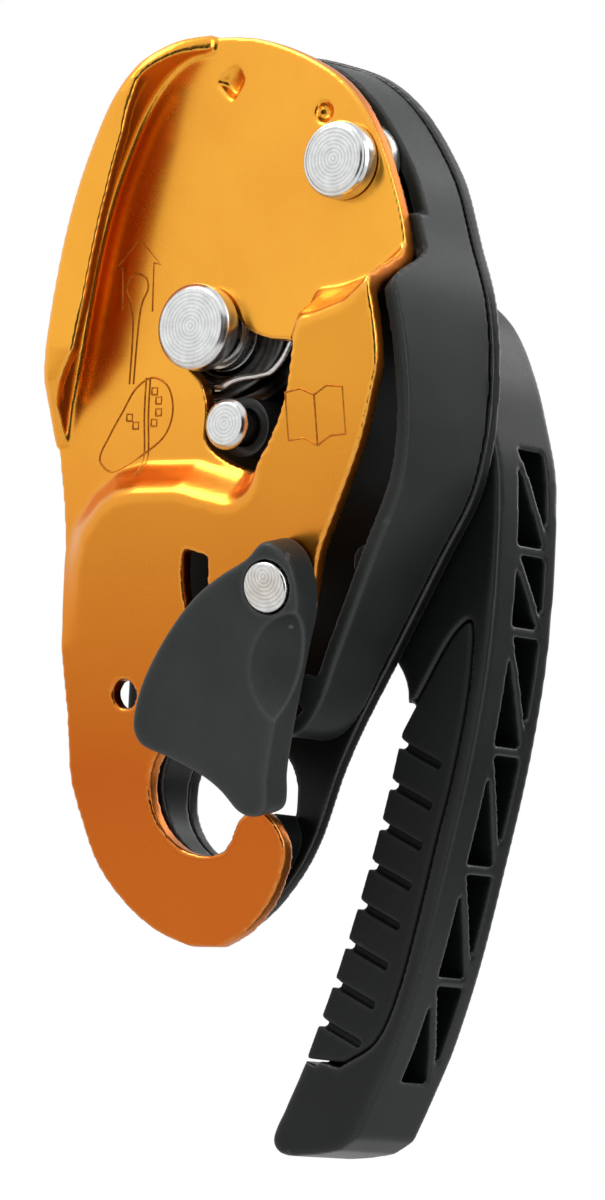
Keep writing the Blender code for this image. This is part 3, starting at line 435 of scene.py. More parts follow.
def shade(item: Item, angle: float = 32.0) -> Item:
    """Smooth shading that keeps the edges sharper than an angle.

    Args:
        item: The piece.
        angle: Edges sharper than this stay sharp, in degrees.

    Returns:
        The same piece.
    """
    item.data.shade_smooth()
    item.data.set_sharp_from_angle(angle=math.radians(angle))
    return item


def rounded(item: Item, width: float, angle: float, clamp: bool = False) -> Item:
    """Round the edges of a cleanly built piece that are sharper than an angle.

    Args:
        item: The piece.
        width: Width of the rounding in millimetres.
        angle: Edges sharper than this are rounded, in degrees.
        clamp: Whether narrow faces keep the rounding smaller.

    Returns:
        The rounded piece.
    """
    bevel = item.modifiers.new("edge", "BEVEL")
    bevel.width = width * MM
    bevel.segments = 2
    bevel.limit_method = "ANGLE"
    bevel.angle_limit = math.radians(angle)
    bevel.use_clamp_overlap = clamp
    return shade(baked(item))


def recentre(item: Item, centre: Point) -> Item:
    """Put the origin on a Y axis through a point, so turning rings run round it.

    Args:
        item: The piece.
        centre: X and Z of the axis.

    Returns:
        The same piece.
    """
    target = Vector((centre[0] * MM, 0.0, centre[1] * MM))
    item.data.transform(Matrix.Translation(-target))
    item.location = target
    return item


# Finishes


class Finish(Enum):
    """The finishes on this object."""

    ORANGE = "orange_anodised"
    MARK = "engraved_orange"
    BLACK = "black_anodised"
    HOUSING = "moulded_housing"
    LEVER = "moulded_lever"
    GATE = "grained_gate"
    GRIP = "soft_grip"
    STEEL = "turned_steel"
    WIRE = "drawn_wire"
    CAM = "hardened_cam"


class Nodes:
    """Short ways to add and join the shader nodes of a material or a world."""

    def __init__(self, owner: bpy.types.ID) -> None:
        """Turn the nodes on and keep the main shader.

        Args:
            owner: The new material or world.
        """
        owner.use_nodes = True
        self.owner = owner
        self.tree = owner.node_tree
        self.shader = self.tree.nodes.get("Principled BSDF")

    @cached_property
    def coords(self) -> Socket:
        """Places in the piece's own axes."""
        return self.add("TexCoord").outputs["Object"]

    def give(self, socket: Socket, value: object) -> None:
        """Join another socket to this one, or set its value.

        Args:
            socket: The socket to fill.
            value: A socket, a number, a vector or a colour.
        """
        if isinstance(value, Socket):
            self.tree.links.new(value, socket)
        else:
            socket.default_value = value

    def add(self, kind: str, inputs: Optional[dict[str, object]] = None,
            **settings: object) -> bpy.types.Node:
        """Add a node, set its properties and fill its inputs.

        Args:
            kind: Type of the node, without the words that all share.
            inputs: Sockets or values by the name of the input.
            settings: Properties of the node.

        Returns:
            The node.
        """
        node = self.tree.nodes.new("ShaderNode" + kind)
        for key, value in settings.items():
            setattr(node, key, value)
        for key, value in (inputs or {}).items():
            self.give(node.inputs[key], value)
        return node

    def noise(self, scale: float, detail: float = 3.0, rough: float = 0.5,
              stretch: Optional[Floats] = None) -> Socket:
        """Noise with values about 0.5.

        Args:
            scale: Features per metre.
            detail: Octaves of finer noise.
            rough: Strength of the finer noise.
            stretch: Scale along each axis, or None.

        Returns:
            The socket with the noise.
        """
        source = self.coords
        if stretch:
            source = self.add("Mapping", {"Vector": source, "Scale": stretch}).outputs["Vector"]
        return self.add("TexNoise", {"Vector": source, "Scale": scale, "Detail": detail,
                                     "Roughness": rough}).outputs["Fac"]

    def spread(self, value: Socket, low: float, high: float, start: float = 0.3,
               end: float = 0.7) -> Socket:
        """Map a value from start and end to low and high, clamped."""
        return self.add("MapRange", {"Value": value, "From Min": start, "From Max": end,
                                     "To Min": low, "To Max": high}).outputs["Result"]

    def sums(self, operation: str, first: object, second: object = 0.0) -> Socket:
        """A math node between two sockets or numbers.

        Args:
            operation: Name of the operation.
            first: A socket or number.
            second: A socket or number.

        Returns:
            The socket with the result.
        """
        node = self.add("Math", operation=operation)
        for socket, value in zip(node.inputs, (first, second)):
            self.give(socket, value)
        return node.outputs["Value"]

    def ramp(self, value: Socket, *stops: tuple[float, Floats]) -> Socket:
        """A colour ramp with two stops of place and colour.

        Args:
            value: The socket that picks the colour.
            stops: Place and colour of each stop.

        Returns:
            The socket with the colour.
        """
        node = self.add("ValToRGB", {"Fac": value})
        for element, (spot, colour) in zip(node.color_ramp.elements, stops):
            element.position = spot
            element.color = (*colour, 1.0)
        return node.outputs["Color"]

    def blend(self, factor: Socket, first: object, second: object) -> Socket:
        """A mix of two colours, given as sockets or numbers.

        Args:
            factor: 0 gives the first colour and 1 the second.
            first: A socket or colour.
            second: A socket or colour.

        Returns:
            The socket with the mix.
        """
        node = self.add("Mix", {"Factor": factor}, data_type="RGBA")
        for key, value in (("A", first), ("B", second)):
            socket = next(s for s in node.inputs if s.name == key and s.type == "RGBA")
            self.give(socket, value if isinstance(value, Socket) else (*value, 1.0))
        return next(s for s in node.outputs if s.type == "RGBA")

    def edges(self, low: float = 0.5, high: float = 0.56) -> Socket:
        """About 1 on outward edges and 0 on flat places."""
        return self.spread(self.add("NewGeometry").outputs["Pointiness"], 0.0, 1.0, low, high)

    def bump(self, height: Socket, depth: float) -> None:
        """Add relief; depth is in millimetres for a height of 1.

        Args:
            height: The socket with the height.
            depth: Relief in millimetres for a height of 1.
        """
        node = self.add("Bump", {"Strength": 1.0, "Distance": depth * MM, "Height": height})
        normal = self.shader.inputs["Normal"]
        if normal.is_linked:
            self.give(node.inputs["Normal"], normal.links[0].from_socket)
        self.give(normal, node.outputs["Normal"])

    def finish(self, **values: object) -> Material:
        """Fill sockets of the shader, with _ for a blank, and hand the material out.

        Args:
            values: Sockets or numbers by the name of the shader's socket.

        Returns:
            The material.
        """
        for key, value in values.items():
            self.give(self.shader.inputs[key.replace("_", " ")], value)
        return self.owner


@dataclass(frozen=True)
class Anodised:
    """Anodised aluminium sheet, darker and redder where it is cut; towards the bottom, over the
    part bent away, a painted shade makes it darker and redder too.

    Scales are in features per metre, heights in metres and reliefs in millimetres.
    """

    upper: Floats = (0.93, 0.43, 0.050)
    # Painted shade: the lower part of the plate fades to this darker colour between the two heights
    # below.
    painted_shade_lower: Floats = (0.60, 0.138, 0.017)
    cut_edge: Floats = (0.60, 0.17, 0.018)
    worn: Floats = (1.0, 0.66, 0.22)
    painted_shade_heights: Point = (0.003, 0.068)
    cloud_scale: float = 60.0
    cloud_tint: float = 0.22
    side_facing: Point = (0.05, 0.45)
    wear_scale: float = 400.0
    wear_edges: Point = (0.515, 0.60)
    wear_share: Point = (0.1, 0.8)
    grain_scale: float = 5200.0
    grain_relief: float = 0.0008
    stroke_scale: float = 1500.0
    stroke_stretch: Floats = (0.15, 1.0, 1.0)
    stroke_relief: float = 0.03
    roughness: Point = (0.21, 0.25)
    cloud_roughness: float = 0.04
    side_roughness: float = 0.12

    def make(self, name: str) -> Material:
        """Build the finish.

        Args:
            name: Name of the material.

        Returns:
            The material.
        """
        n = Nodes(bpy.data.materials.new(name))
        up = n.add("SeparateXYZ", {"Vector": n.coords}).outputs["Z"]
        cloud = n.noise(self.cloud_scale, 4.0)
        # Painted shade: the colour turns darker and redder towards the bottom of the plate.
        colour = n.blend(n.spread(up, 0.0, 1.0, *self.painted_shade_heights), self.painted_shade_lower, self.upper)
        colour = n.blend(n.spread(cloud, 0.0, self.cloud_tint), colour, self.cut_edge)
        normal = n.add("NewGeometry").outputs["True Normal"]
        facing = n.add("SeparateXYZ", {"Vector": normal}).outputs["Y"]
        side = n.spread(n.sums("ABSOLUTE", facing), 1.0, 0.0, *self.side_facing)
        colour = n.blend(side, colour, self.cut_edge)
        wear = n.sums("MULTIPLY", n.edges(*self.wear_edges),
                      n.spread(n.noise(self.wear_scale, 5.0), *self.wear_share))
        grain = n.noise(self.grain_scale, 2.0)
        strokes = n.noise(self.stroke_scale, 2.0, 0.6, self.stroke_stretch)
        rough = n.sums("ADD", n.spread(grain, *self.roughness),
                       n.spread(cloud, 0.0, self.cloud_roughness))
        rough = n.sums("ADD", rough, n.sums("MULTIPLY", side, self.side_roughness))
        n.bump(grain, self.grain_relief)
        n.bump(n.sums("MULTIPLY", strokes, side), self.stroke_relief)
        return n.finish(Base_Color=n.blend(wear, colour, self.worn), Roughness=rough, Metallic=1.0)


@dataclass(frozen=True)
class Engraved:
    """Dull dark orange in the bottom of an engraved line."""

    deep: Floats = (0.36, 0.10, 0.010)
    light: Floats = (0.56, 0.20, 0.020)
    tint_scale: float = 1800.0
    grain_scale: float = 3000.0
    roughness: Point = (0.45, 0.6)

    def make(self, name: str) -> Material:
        """Build the finish.

        Args:
            name: Name of the material.

        Returns:
            The material.
        """
        n = Nodes(bpy.data.materials.new(name))
        colour = n.ramp(n.noise(self.tint_scale, 4.0), (0.35, self.deep), (0.65, self.light))
        return n.finish(Base_Color=colour, Metallic=0.9,
                        Roughness=n.spread(n.noise(self.grain_scale), *self.roughness))


@dataclass(frozen=True)
class Moulded:
    """Black plastic or anodising with grain, dust and polished edges.

    Grain and other scales are in features per metre and relief in millimetres.
    """

    base: Floats
    pale: Floats
    edge: Floats
    roughness: float
    grain: float
    relief: float
    metal: float = 0.0
    cloud_scale: float = 45.0
    scuff_scale: float = 700.0
    scuff_stretch: Floats = (1.0, 1.0, 0.18)
    scuff_tint: Floats = (0.0, 0.35, 0.56, 0.75)
    fine_roughness: Point = (-0.06, 0.08)
    cloud_roughness: Point = (-0.04, 0.05)
    edge_tint: float = 0.8
    edge_polish: float = 0.14
    shine: float = 0.22

    def make(self, name: str) -> Material:
        """Build the finish.

        Args:
            name: Name of the material.

        Returns:
            The material.
        """
        n = Nodes(bpy.data.materials.new(name))
        cloud = n.noise(self.cloud_scale, 5.0, 0.6)
        fine = n.noise(self.grain, 3.0, 0.6)
        scuff = n.noise(self.scuff_scale, 4.0, 0.7, self.scuff_stretch)
        colour = n.ramp(cloud, (0.32, self.base), (0.72, self.pale))
        colour = n.blend(n.spread(scuff, *self.scuff_tint), colour, self.pale)
        colour = n.blend(n.sums("MULTIPLY", n.edges(), self.edge_tint), colour, self.edge)
        low, high = self.fine_roughness
        rough = n.sums("ADD", n.spread(fine, self.roughness + low, self.roughness + high),
                       n.spread(cloud, *self.cloud_roughness))
        rough = n.sums("SUBTRACT", rough, n.sums("MULTIPLY", n.edges(), self.edge_polish))
        n.bump(fine, self.relief)
        return n.finish(Base_Color=colour, Roughness=rough, Metallic=self.metal,
                        Specular_IOR_Level=self.shine)


@dataclass(frozen=True)
class Turned:
    """Bare steel with rings from the lathe about the piece's own axis."""

    base: Floats = (0.84, 0.85, 0.85)
    dark: Floats = (0.50, 0.51, 0.51)
    pitch: float = 0.62
    roughness: float = 0.26
    wander_scale: float = 900.0
    wander: float = 0.1
    stain_scale: float = 700.0
    ring_share: float = 0.35
    stain_share: float = 0.65
    ring_roughness: float = 0.05
    stain_roughness: Point = (-0.02, 0.03)
    relief: float = 0.003
    stretch: float = 0.35

    def make(self, name: str) -> Material:
        """Build the finish.

        Args:
            name: Name of the material.

        Returns:
            The material.
        """
        n = Nodes(bpy.data.materials.new(name))
        split = n.add("SeparateXYZ", {"Vector": n.coords})
        square = [n.sums("MULTIPLY", split.outputs[axis], split.outputs[axis]) for axis in "XZ"]
        radius = n.sums("SQRT", n.sums("ADD", *square))
        wander = n.sums("MULTIPLY", n.noise(self.wander_scale), self.wander * MM)
        turns = n.sums("MULTIPLY", n.sums("ADD", radius, wander), 2 * math.pi / (self.pitch * MM))
        ring = n.spread(n.sums("SINE", turns), 0.0, 1.0, -1.0, 1.0)
        stain = n.noise(self.stain_scale)
        tone = n.sums("ADD", n.sums("MULTIPLY", ring, self.ring_share),
                      n.sums("MULTIPLY", stain, self.stain_share))
        rough = n.sums("ADD", n.spread(ring, self.roughness - self.ring_roughness,
                                       self.roughness + self.ring_roughness, 0.0, 1.0),
                       n.spread(stain, *self.stain_roughness))
        n.bump(ring, self.relief)
        return n.finish(Base_Color=n.ramp(tone, (0.15, self.dark), (0.80, self.base)),
                        Roughness=rough, Metallic=1.0, Anisotropic=self.stretch)


FINISHES: dict[Finish, object] = {
    Finish.ORANGE: Anodised(),
    Finish.MARK: Engraved(),
    Finish.BLACK: Moulded((0.008, 0.009, 0.009), (0.016, 0.018, 0.018), (0.10, 0.10, 0.10),
                          0.36, 5000.0, 0.006, 0.6),
    Finish.HOUSING: Moulded((0.014, 0.017, 0.016), (0.022, 0.026, 0.025), (0.06, 0.065, 0.06),
                            0.42, 3600.0, 0.012),
    Finish.LEVER: Moulded((0.005, 0.006, 0.006), (0.009, 0.011, 0.011), (0.05, 0.052, 0.052),
                          0.34, 3400.0, 0.012),
    Finish.GATE: Moulded((0.020, 0.023, 0.023), (0.038, 0.042, 0.042), (0.10, 0.105, 0.105),
                         0.46, 2100.0, 0.090),
    Finish.GRIP: Moulded((0.006, 0.007, 0.007), (0.010, 0.012, 0.012), (0.030, 0.031, 0.031),
                         0.60, 2600.0, 0.030),
    Finish.STEEL: Turned(),
    Finish.WIRE: Turned((0.74, 0.74, 0.73), (0.55, 0.55, 0.54), 0.9, 0.2),
    Finish.CAM: Turned((0.16, 0.16, 0.16), (0.05, 0.05, 0.05), 1.1, 0.34),
}


class Paintbox:
    """Makes each finish once and hands it out."""

    def __init__(self) -> None:
        """Start with no finish made."""
        self.made: dict[Finish, Material] = {}

    def paint(self, item: Item, finish: Finish) -> None:
        """Give a piece its finish as its only material.

        Args:
            item: The piece.
            finish: Its finish.
        """
        if finish not in self.made:
            self.made[finish] = FINISHES[finish].make(finish.value)
        item.data.materials.clear()
        item.data.materials.append(self.made[finish])


@dataclass
class SubAssembly:
    """What every group of pieces shares: the paint and the frame it rides on."""

    paints: Paintbox
    nodes: dict[str, Item]
    body: str = "frame"

    def fit(self, item: Item, finish: Finish, *replaced: str, body: Optional[str] = None) -> None:
        """Paint a piece, put it on its body and let it stand for its solid.

        Args:
            item: The finished mesh, in place.
            finish: Its finish.
            replaced: CAD nodes that it stands for.
            body: CAD body it rides on, if not the group's own.
        """
        self.paints.paint(item, finish)
        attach(item, body or self.body)
        if replaced:
            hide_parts(*replaced)
        LOG.info("%s: %d faces, %s", item.name, len(item.data.polygons), finish.value)

    def softened(self, node: str, finish: Finish, edge: float,
                 centre: Optional[Point] = None, body: Optional[str] = None) -> None:
        """Fit a copy of a CAD node with rounded edges, in its place.

        Args:
            node: Name of the CAD node.
            finish: Finish of the copy.
            edge: Radius of its edges.
            centre: Axis of its turning rings.
            body: CAD body it rides on.
        """
        work = bmesh.new()
        work.from_mesh(self.nodes[node].data)
        bmesh.ops.remove_doubles(work, verts=work.verts, dist=WELD)
        bmesh.ops.dissolve_limit(work, angle_limit=math.radians(FLAT_ANGLE), verts=work.verts,
                                 edges=work.edges)
        item = rounded(finished_mesh(work, node + "_look"), edge, EDGE_ANGLE, clamp=True)
        if centre:
            recentre(item, centre)
        self.fit(item, finish, node, body=body)


# Places and depths

AXLE: Point = (0.0, 74.0)
PIVOT: Point = (25.6, 100.1)
STUD: Point = (6.0, 58.5)
GATE_HINGE: Point = (21.2, 33.2)
EYE: Point = (0.0, 0.0)
SCREWS: Loop = [(38.6, 60.0), (31.0, 37.0), (20.4, 16.4), (37.0, 85.4), (22.0, 109.2)]
TAB_RIVETS: Loop = [(-2.0, 110.0), (9.0, 110.4)]
SPRING_POST: Point = (19.0, 77.4)
PLATE_THICK = 2.8
FIXED_FRONT = 17.3
FIXED_BACK = 19.8
HANDLE_FRONT = 21.0
HANDLE_BACK = 38.5
GAP = 0.3


@dataclass(frozen=True)
class PressedFace:
    """The moving plate's front face: flat, with one leaning part pressed forward."""

    rise: float = 10.6
    top: float = 71.0
    slope: float = 0.22
    bend_width: float = 7.4
    bend_inset: float = 1.6
    corner: Point = (-34.0, -32.0)
    extent: Point = (80.0, 158.0)
    line: Sequence[Point] = (
        (-27.5, 16.0), (-27.0, 36.0), (-25.0, 43.4), (-20.1, 49.1), (-15.2, 52.3),
        (-10.0, 53.4), (0.2, 53.5), (9.1, 51.3), (9.5, 55.0), (12.0, 64.0), (15.5, 69.5),
        (17.3, 72.0), (21.3, 80.2), (26.7, 80.8), (31.5, 82.2), (37.0, 86.4), (44.0, 94.0))

    def leaning(self, z: float) -> float:
        """Depth of the leaning plane at a height."""
        return -self.rise + self.slope * (self.top - z)

    def away(self, x: float, z: float) -> float:
        """Distance from the bend's line, positive on the raised side.

        Args:
            x: X of a place on the plate.
            z: Z of the place.

        Returns:
            The distance in millimetres.
        """
        best, square = 1e9, 0.0
        for (x0, z0), (x1, z1) in zip(self.line, self.line[1:]):
            ax, az = x1 - x0, z1 - z0
            t = max(0.0, min(1.0, ((x - x0) * ax + (z - z0) * az) / (ax * ax + az * az)))
            gap = math.hypot(x - x0 - ax * t, z - z0 - az * t)
            right = (az * (x - x0) - ax * (z - z0)) / math.hypot(ax, az)
            if gap < best - TINY or (gap < best + TINY and abs(right) > abs(square)):
                best, square = min(best, gap), right
        return math.copysign(best, square)

    def front(self, x: float, z: float, inset: float = 0.0) -> float:
        """Depth of the front face, or of a copy pressed in further.

        Args:
            x: X of a place on the plate.
            z: Z of the place.
            inset: How far the bend is moved into the raised part.

        Returns:
            The depth in millimetres.
        """
        plane = self.leaning(z)
        if plane > 0:
            return plane
        t = max(0.0, min(1.0, (self.away(x, z) - inset) / self.bend_width))
        return plane * t * t * (3 - 2 * t)

    def back(self, x: float, z: float) -> float:
        """Depth of the back face."""
        return self.front(x, z, self.bend_inset) + PLATE_THICK

    def solid(self, name: str, step: float, near: Callable[[float, float], float],
              far: Callable[[float, float], float]) -> Item:
        """A sheet between two depths that vary over the plate.

        Args:
            name: Name of the object.
            step: Spacing of the grid in millimetres.
            near: Depth of the front side at a place.
            far: Depth of the back side at a place.

        Returns:
            The closed sheet, larger than the plate all round.
        """
        columns, rows = ([start + step * i for i in range(int(length / step) + 2)]
                         for start, length in zip(self.corner, self.extent))
        work = bmesh.new()
        sides = [[[work.verts.new(at(x, depth_at(x, z), z)) for x in columns] for z in rows]
                 for depth_at in (near, far)]
        for grid in sides:
            for painted_shade_lower, upper in zip(grid, grid[1:]):
                for corners_of_face in zip(painted_shade_lower, painted_shade_lower[1:], upper[1:], upper):
                    work.faces.new(corners_of_face)
        rims = [grid[0] + [row[-1] for row in grid[1:]] + grid[-1][-2::-1]
                + [row[0] for row in grid[-2:0:-1]] for grid in sides]
        for i in range(len(rims[0])):
            work.faces.new((rims[0][i - 1], rims[0][i], rims[1][i], rims[1][i - 1]))
        return finished_mesh(work, name)


FACE = PressedFace()


def lean(item: Item) -> Item:
    """Lean a piece built flat onto the raised face, about the gate's hinge.

    Args:
        item: The piece.

    Returns:
        The same piece.
    """
    pivot = Vector(at(0, FACE.leaning(GATE_HINGE[1]), GATE_HINGE[1]))
    turn = Matrix.Rotation(math.atan(FACE.slope), 4, "X")
    item.data.transform(Matrix.Translation(pivot) @ turn @ Matrix.Translation(-pivot))
    return item


# Sub-assemblies


@dataclass
class MovingPlate(SubAssembly):
    """Pressed orange plate with its raised arm, window, hook, lip and engraved marks."""

    body: str = "plate"
    grid: float = 1.0
    voxel: float = 0.42
    rounds: int = 5
    eye_radius: float = 9.8
    shank_hole: float = 3.1
    gate_bore: float = 6.2
    bore_reach: float = 20.0
    cord_hole: float = 2.3
    cord_spot: Point = (-13.4, 15.5)
    mouth: Point = (130, 295)
    cut_depths: Point = (-33.0, 31.0)
    window_corners: Sequence[int] = (8, 11)
    slot_radii: Point = (21.4, 16.6)
    slot_angles: Point = (166, 208)
    blind_spot: Point = (20.9, 108.2)
    blind_profile: Sequence[Point] = ((0, -9), (1.6, -9), (1.6, 0.8), (0, 2.0))
    # The sunk dart near the top: its edge, and the places of its floor.
    dart: Sequence[Point] = ((-0.8, 114.0), (4.6, 117.9), (6.2, 114.8), (3.0, 110.2))
    dart_top: float = -0.5
    dart_floor: Sequence[Floats] = ((0.7, 1.7, 113.5), (2.9, 1.7, 111.8))
    right: Sequence[Point] = (
        (-5.2, 121.0), (5.5, 120.8), (13.5, 118.8), (21.6, 115.0), (26.6, 111.0),
        (30.6, 105.6), (33.6, 99.6), (36.8, 91.1), (38.2, 84.5), (39.6, 78.0),
        (40.2, 68.1), (38.4, 61.8), (35.5, 54.3), (29.7, 43.5), (26.6, 37.8),
        (24.8, 31.5), (22.5, 26.4), (17.0, 24.0), (9.0, 20.0), (0.5, 13.5), (-4.2, 9.2))
    tip: Sequence[Point] = (
        (5.7, -6.9), (7.0, -4.4), (9.0, -2.9), (11.9, -2.5), (14.6, -5.0), (15.8, -8.3),
        (14.6, -12.6), (11.8, -17.2), (7.2, -21.5), (1.8, -24.2))
    left: Sequence[Point] = (
        (-4.2, -24.3), (-10.6, -22.0), (-16.4, -17.8), (-21.4, -11.6), (-24.2, -3.6),
        (-25.6, 2.6), (-25.2, 12.2), (-25.5, 24.0), (-25.4, 36.0), (-26.4, 46.0),
        (-28.0, 57.0), (-26.6, 68.0), (-25.2, 80.0), (-21.6, 95.0), (-17.6, 106.0),
        (-13.4, 114.0), (-9.6, 118.8))
    window: Sequence[Point] = (
        (-3.2, 68.4), (-5.3, 72.2), (-4.6, 77.4), (-0.4, 79.6), (4.6, 77.2), (7.9, 74.0),
        (11.7, 72.4), (17.3, 71.7), (24.4, 70.6), (22.1, 62.0), (19.3, 56.4), (14.9, 50.5),
        (10.7, 51.1), (4.9, 53.1), (1.2, 56.0), (1.2, 61.0), (-0.4, 65.4))
    # Along the rolled lip: X, Z, its height and how far it curls inward.
    lip: Sequence[tuple[float, float, float, float]] = (
        (-1.0, 120.0, 2.4, 0.0), (-6.0, 118.8, 5.6, 0.0), (-10.2, 116.0, 8.2, 0.6),
        (-13.6, 111.8, 9.2, 2.2), (-16.4, 106.6, 9.4, 3.8), (-20.2, 97.0, 9.4, 5.0),
        (-22.6, 88.0, 9.4, 5.4), (-24.2, 79.0, 9.4, 5.4), (-25.4, 71.0, 9.2, 4.8),
        (-26.2, 65.6, 8.0, 2.6), (-26.9, 60.6, 4.6, 0.6), (-27.2, 55.0, 1.2, 0.0))
    # The engraved marks: an arrow, a rope's bight, a strand over a toothed cam, and a book.
    line_width: float = 0.46
    line_sink: float = 0.27
    arrow: Sequence[Point] = (
        (-16.6, 77.3), (-17.0, 84.0), (-18.1, 84.3), (-13.8, 88.8), (-9.5, 84.6),
        (-10.8, 84.9), (-10.6, 77.0))
    bight: Sequence[Point] = (
        (-14.4, 65.3), (-14.3, 75.1), (-15.0, 78.5), (-16.0, 80.7), (-15.3, 82.7),
        (-13.8, 83.2), (-12.1, 82.4), (-11.7, 80.7), (-12.7, 78.5), (-13.2, 75.1),
        (-13.6, 65.3))
    strand: Sequence[Point] = ((-11.1, 66.3), (-11.1, 60.4), (-10.7, 54.0), (-11.1, 50.4))
    strand_width: float = 0.8
    cam: Sequence[Point] = (
        (-19.5, 53.1), (-17.8, 57.0), (-15.4, 60.9), (-13.0, 64.6), (-9.8, 66.3),
        (-6.7, 64.8), (-5.5, 60.9), (-6.8, 57.0), (-10.8, 54.0), (-16.6, 51.1))
    teeth: Sequence[Point] = (
        (-9.3, 64.1), (-8.4, 62.6), (-8.3, 60.7), (-9.1, 59.0), (-14.0, 59.9), (-12.7, 58.6))
    tooth: float = 0.55
    spine: Sequence[Point] = ((27.9, 62.0), (27.9, 54.2))
    pages: Sequence[Sequence[Point]] = (
        ((25.4, 63.0), (22.4, 62.4), (22.4, 55.0), (25.4, 55.4)),
        ((30.4, 63.4), (33.4, 63.2), (33.4, 55.9), (30.4, 55.7)))

    def outline(self) -> Loop:
        """The plate's edge, with its open hook round the eye.

        Returns:
            The points of the edge.
        """
        return (open_curve(self.right) + arc(EYE, self.eye_radius, *self.mouth, 48)
                + open_curve(self.tip) + open_curve(self.left))

    def slot(self) -> Loop:
        """Curved slot in which the gate's stop pin travels."""
        (outer, inner), (start, end) = self.slot_radii, self.slot_angles
        return arc(GATE_HINGE, outer, start, end) + arc(GATE_HINGE, inner, end, start)

    def lip_section(self, height: float, curl: float) -> Loop:
        """Closed section of the rolled lip: across the edge, and forward.

        Args:
            height: How far the lip rises.
            curl: How far it curls inward.

        Returns:
            The points of the section.
        """
        skin = 0.43 * PLATE_THICK
        floor = min(skin, 0.55 * height)
        rise = height - floor
        reach = max(curl, 1.05)
        under = height - 0.325 * rise
        return [
            (-2.6, -skin), (0.3, -skin), (1.2, -0.3 * skin), (1.5, floor + 0.25 * rise),
            (1.5, floor + 0.72 * rise), (1.0, floor + 0.92 * rise), (-0.2, height),
            (-0.55 * reach, height), (-reach, floor + 0.97 * rise), (-reach, under),
            (-0.5 - 0.5 * reach, under), (-1.0, under - 0.12 * rise),
            (-1.0, floor + 0.15 * rise), (-1.5, floor), (-2.6, floor)]

    def rolled_lip(self) -> Item:
        """The lip as a loft along the plate's upper left edge.

        Returns:
            The lip, in its place.
        """
        path = open_curve([row[:2] for row in self.lip], 8)
        sizes = open_curve([row[2:] for row in self.lip], 8)
        work = bmesh.new()
        rows = []
        for index, ((x, z), (height, curl)) in enumerate(zip(path, sizes)):
            along = direction(path, index)
            section = self.lip_section(max(height, 1.0), max(curl, 0.0))
            rows.append([work.verts.new(at(x + along.y * across, PLATE_THICK / 2 - forward,
                                           z - along.x * across))
                         for across, forward in section])
        for upper, painted_shade_lower in zip(rows, rows[1:]):
            for i in range(len(upper)):
                work.faces.new((upper[i - 1], upper[i], painted_shade_lower[i], painted_shade_lower[i - 1]))
        work.faces.new(rows[0])
        work.faces.new(rows[-1][::-1])
        return finished_mesh(work, "lip")

    def pressing(self) -> Item:
        """The whole plate, with softened edges.

        Returns:
            The plate with its window, slot, bores and lip.
        """
        sheet = FACE.solid("moving_plate", self.grid, FACE.front, FACE.back)
        holes = [smooth_loop(self.window, corners=self.window_corners), self.slot(),
                 circle(PIVOT, self.shank_hole), circle(self.cord_spot, self.cord_hole, 40)]
        shape = plate("outline", [self.outline()] + holes, *self.cut_depths)
        sheet = cut(sheet, [shape], "INTERSECT")
        sheet = cut(sheet, [self.rolled_lip()], "UNION")
        bore = cylinder("bore", self.gate_bore / 2, -self.bore_reach, self.bore_reach, GATE_HINGE)
        blind = turned("blind", self.blind_profile, self.blind_spot, 32)
        dart = hull("dart", [(x, self.dart_top, z) for x, z in self.dart] + list(self.dart_floor))
        return moulded(cut(sheet, [bore, blind, dart]), self.voxel, self.rounds)

    def mark(self, name: str, lines: Iterable[Sequence[Point]]) -> None:
        """Engrave lines, given as paths in X and Z, that follow the plate's face.

        Args:
            name: Name of the piece.
            lines: Paths in X and Z.
        """
        paths = [[(x, FACE.front(x, z) + self.line_sink * self.line_width, z) for x, z in line]
                 for line in lines]
        self.fit(shade(tube(name, paths, self.line_width / 2, 1), 60.0), Finish.MARK)

    def build(self) -> None:
        """Build the plate and its marks."""
        self.fit(self.pressing(), Finish.ORANGE, "moving_side_plate")
        strand = open_curve(self.strand)
        cam = smooth_loop(self.cam)
        signs = ((-1, -1), (1, -1), (1, 1), (-1, 1), (-1, -1))
        teeth = [[(x + across * self.tooth, z + up * self.tooth) for across, up in signs]
                 for x, z in self.teeth]
        self.mark("rope_marks", [self.arrow, open_curve(self.bight), strand,
                                 offset_path(strand, self.strand_width), cam + cam[:1]] + teeth)
        top, foot = self.spine
        self.mark("page_marks", [[top, *page, foot] for page in self.pages] + [self.spine])


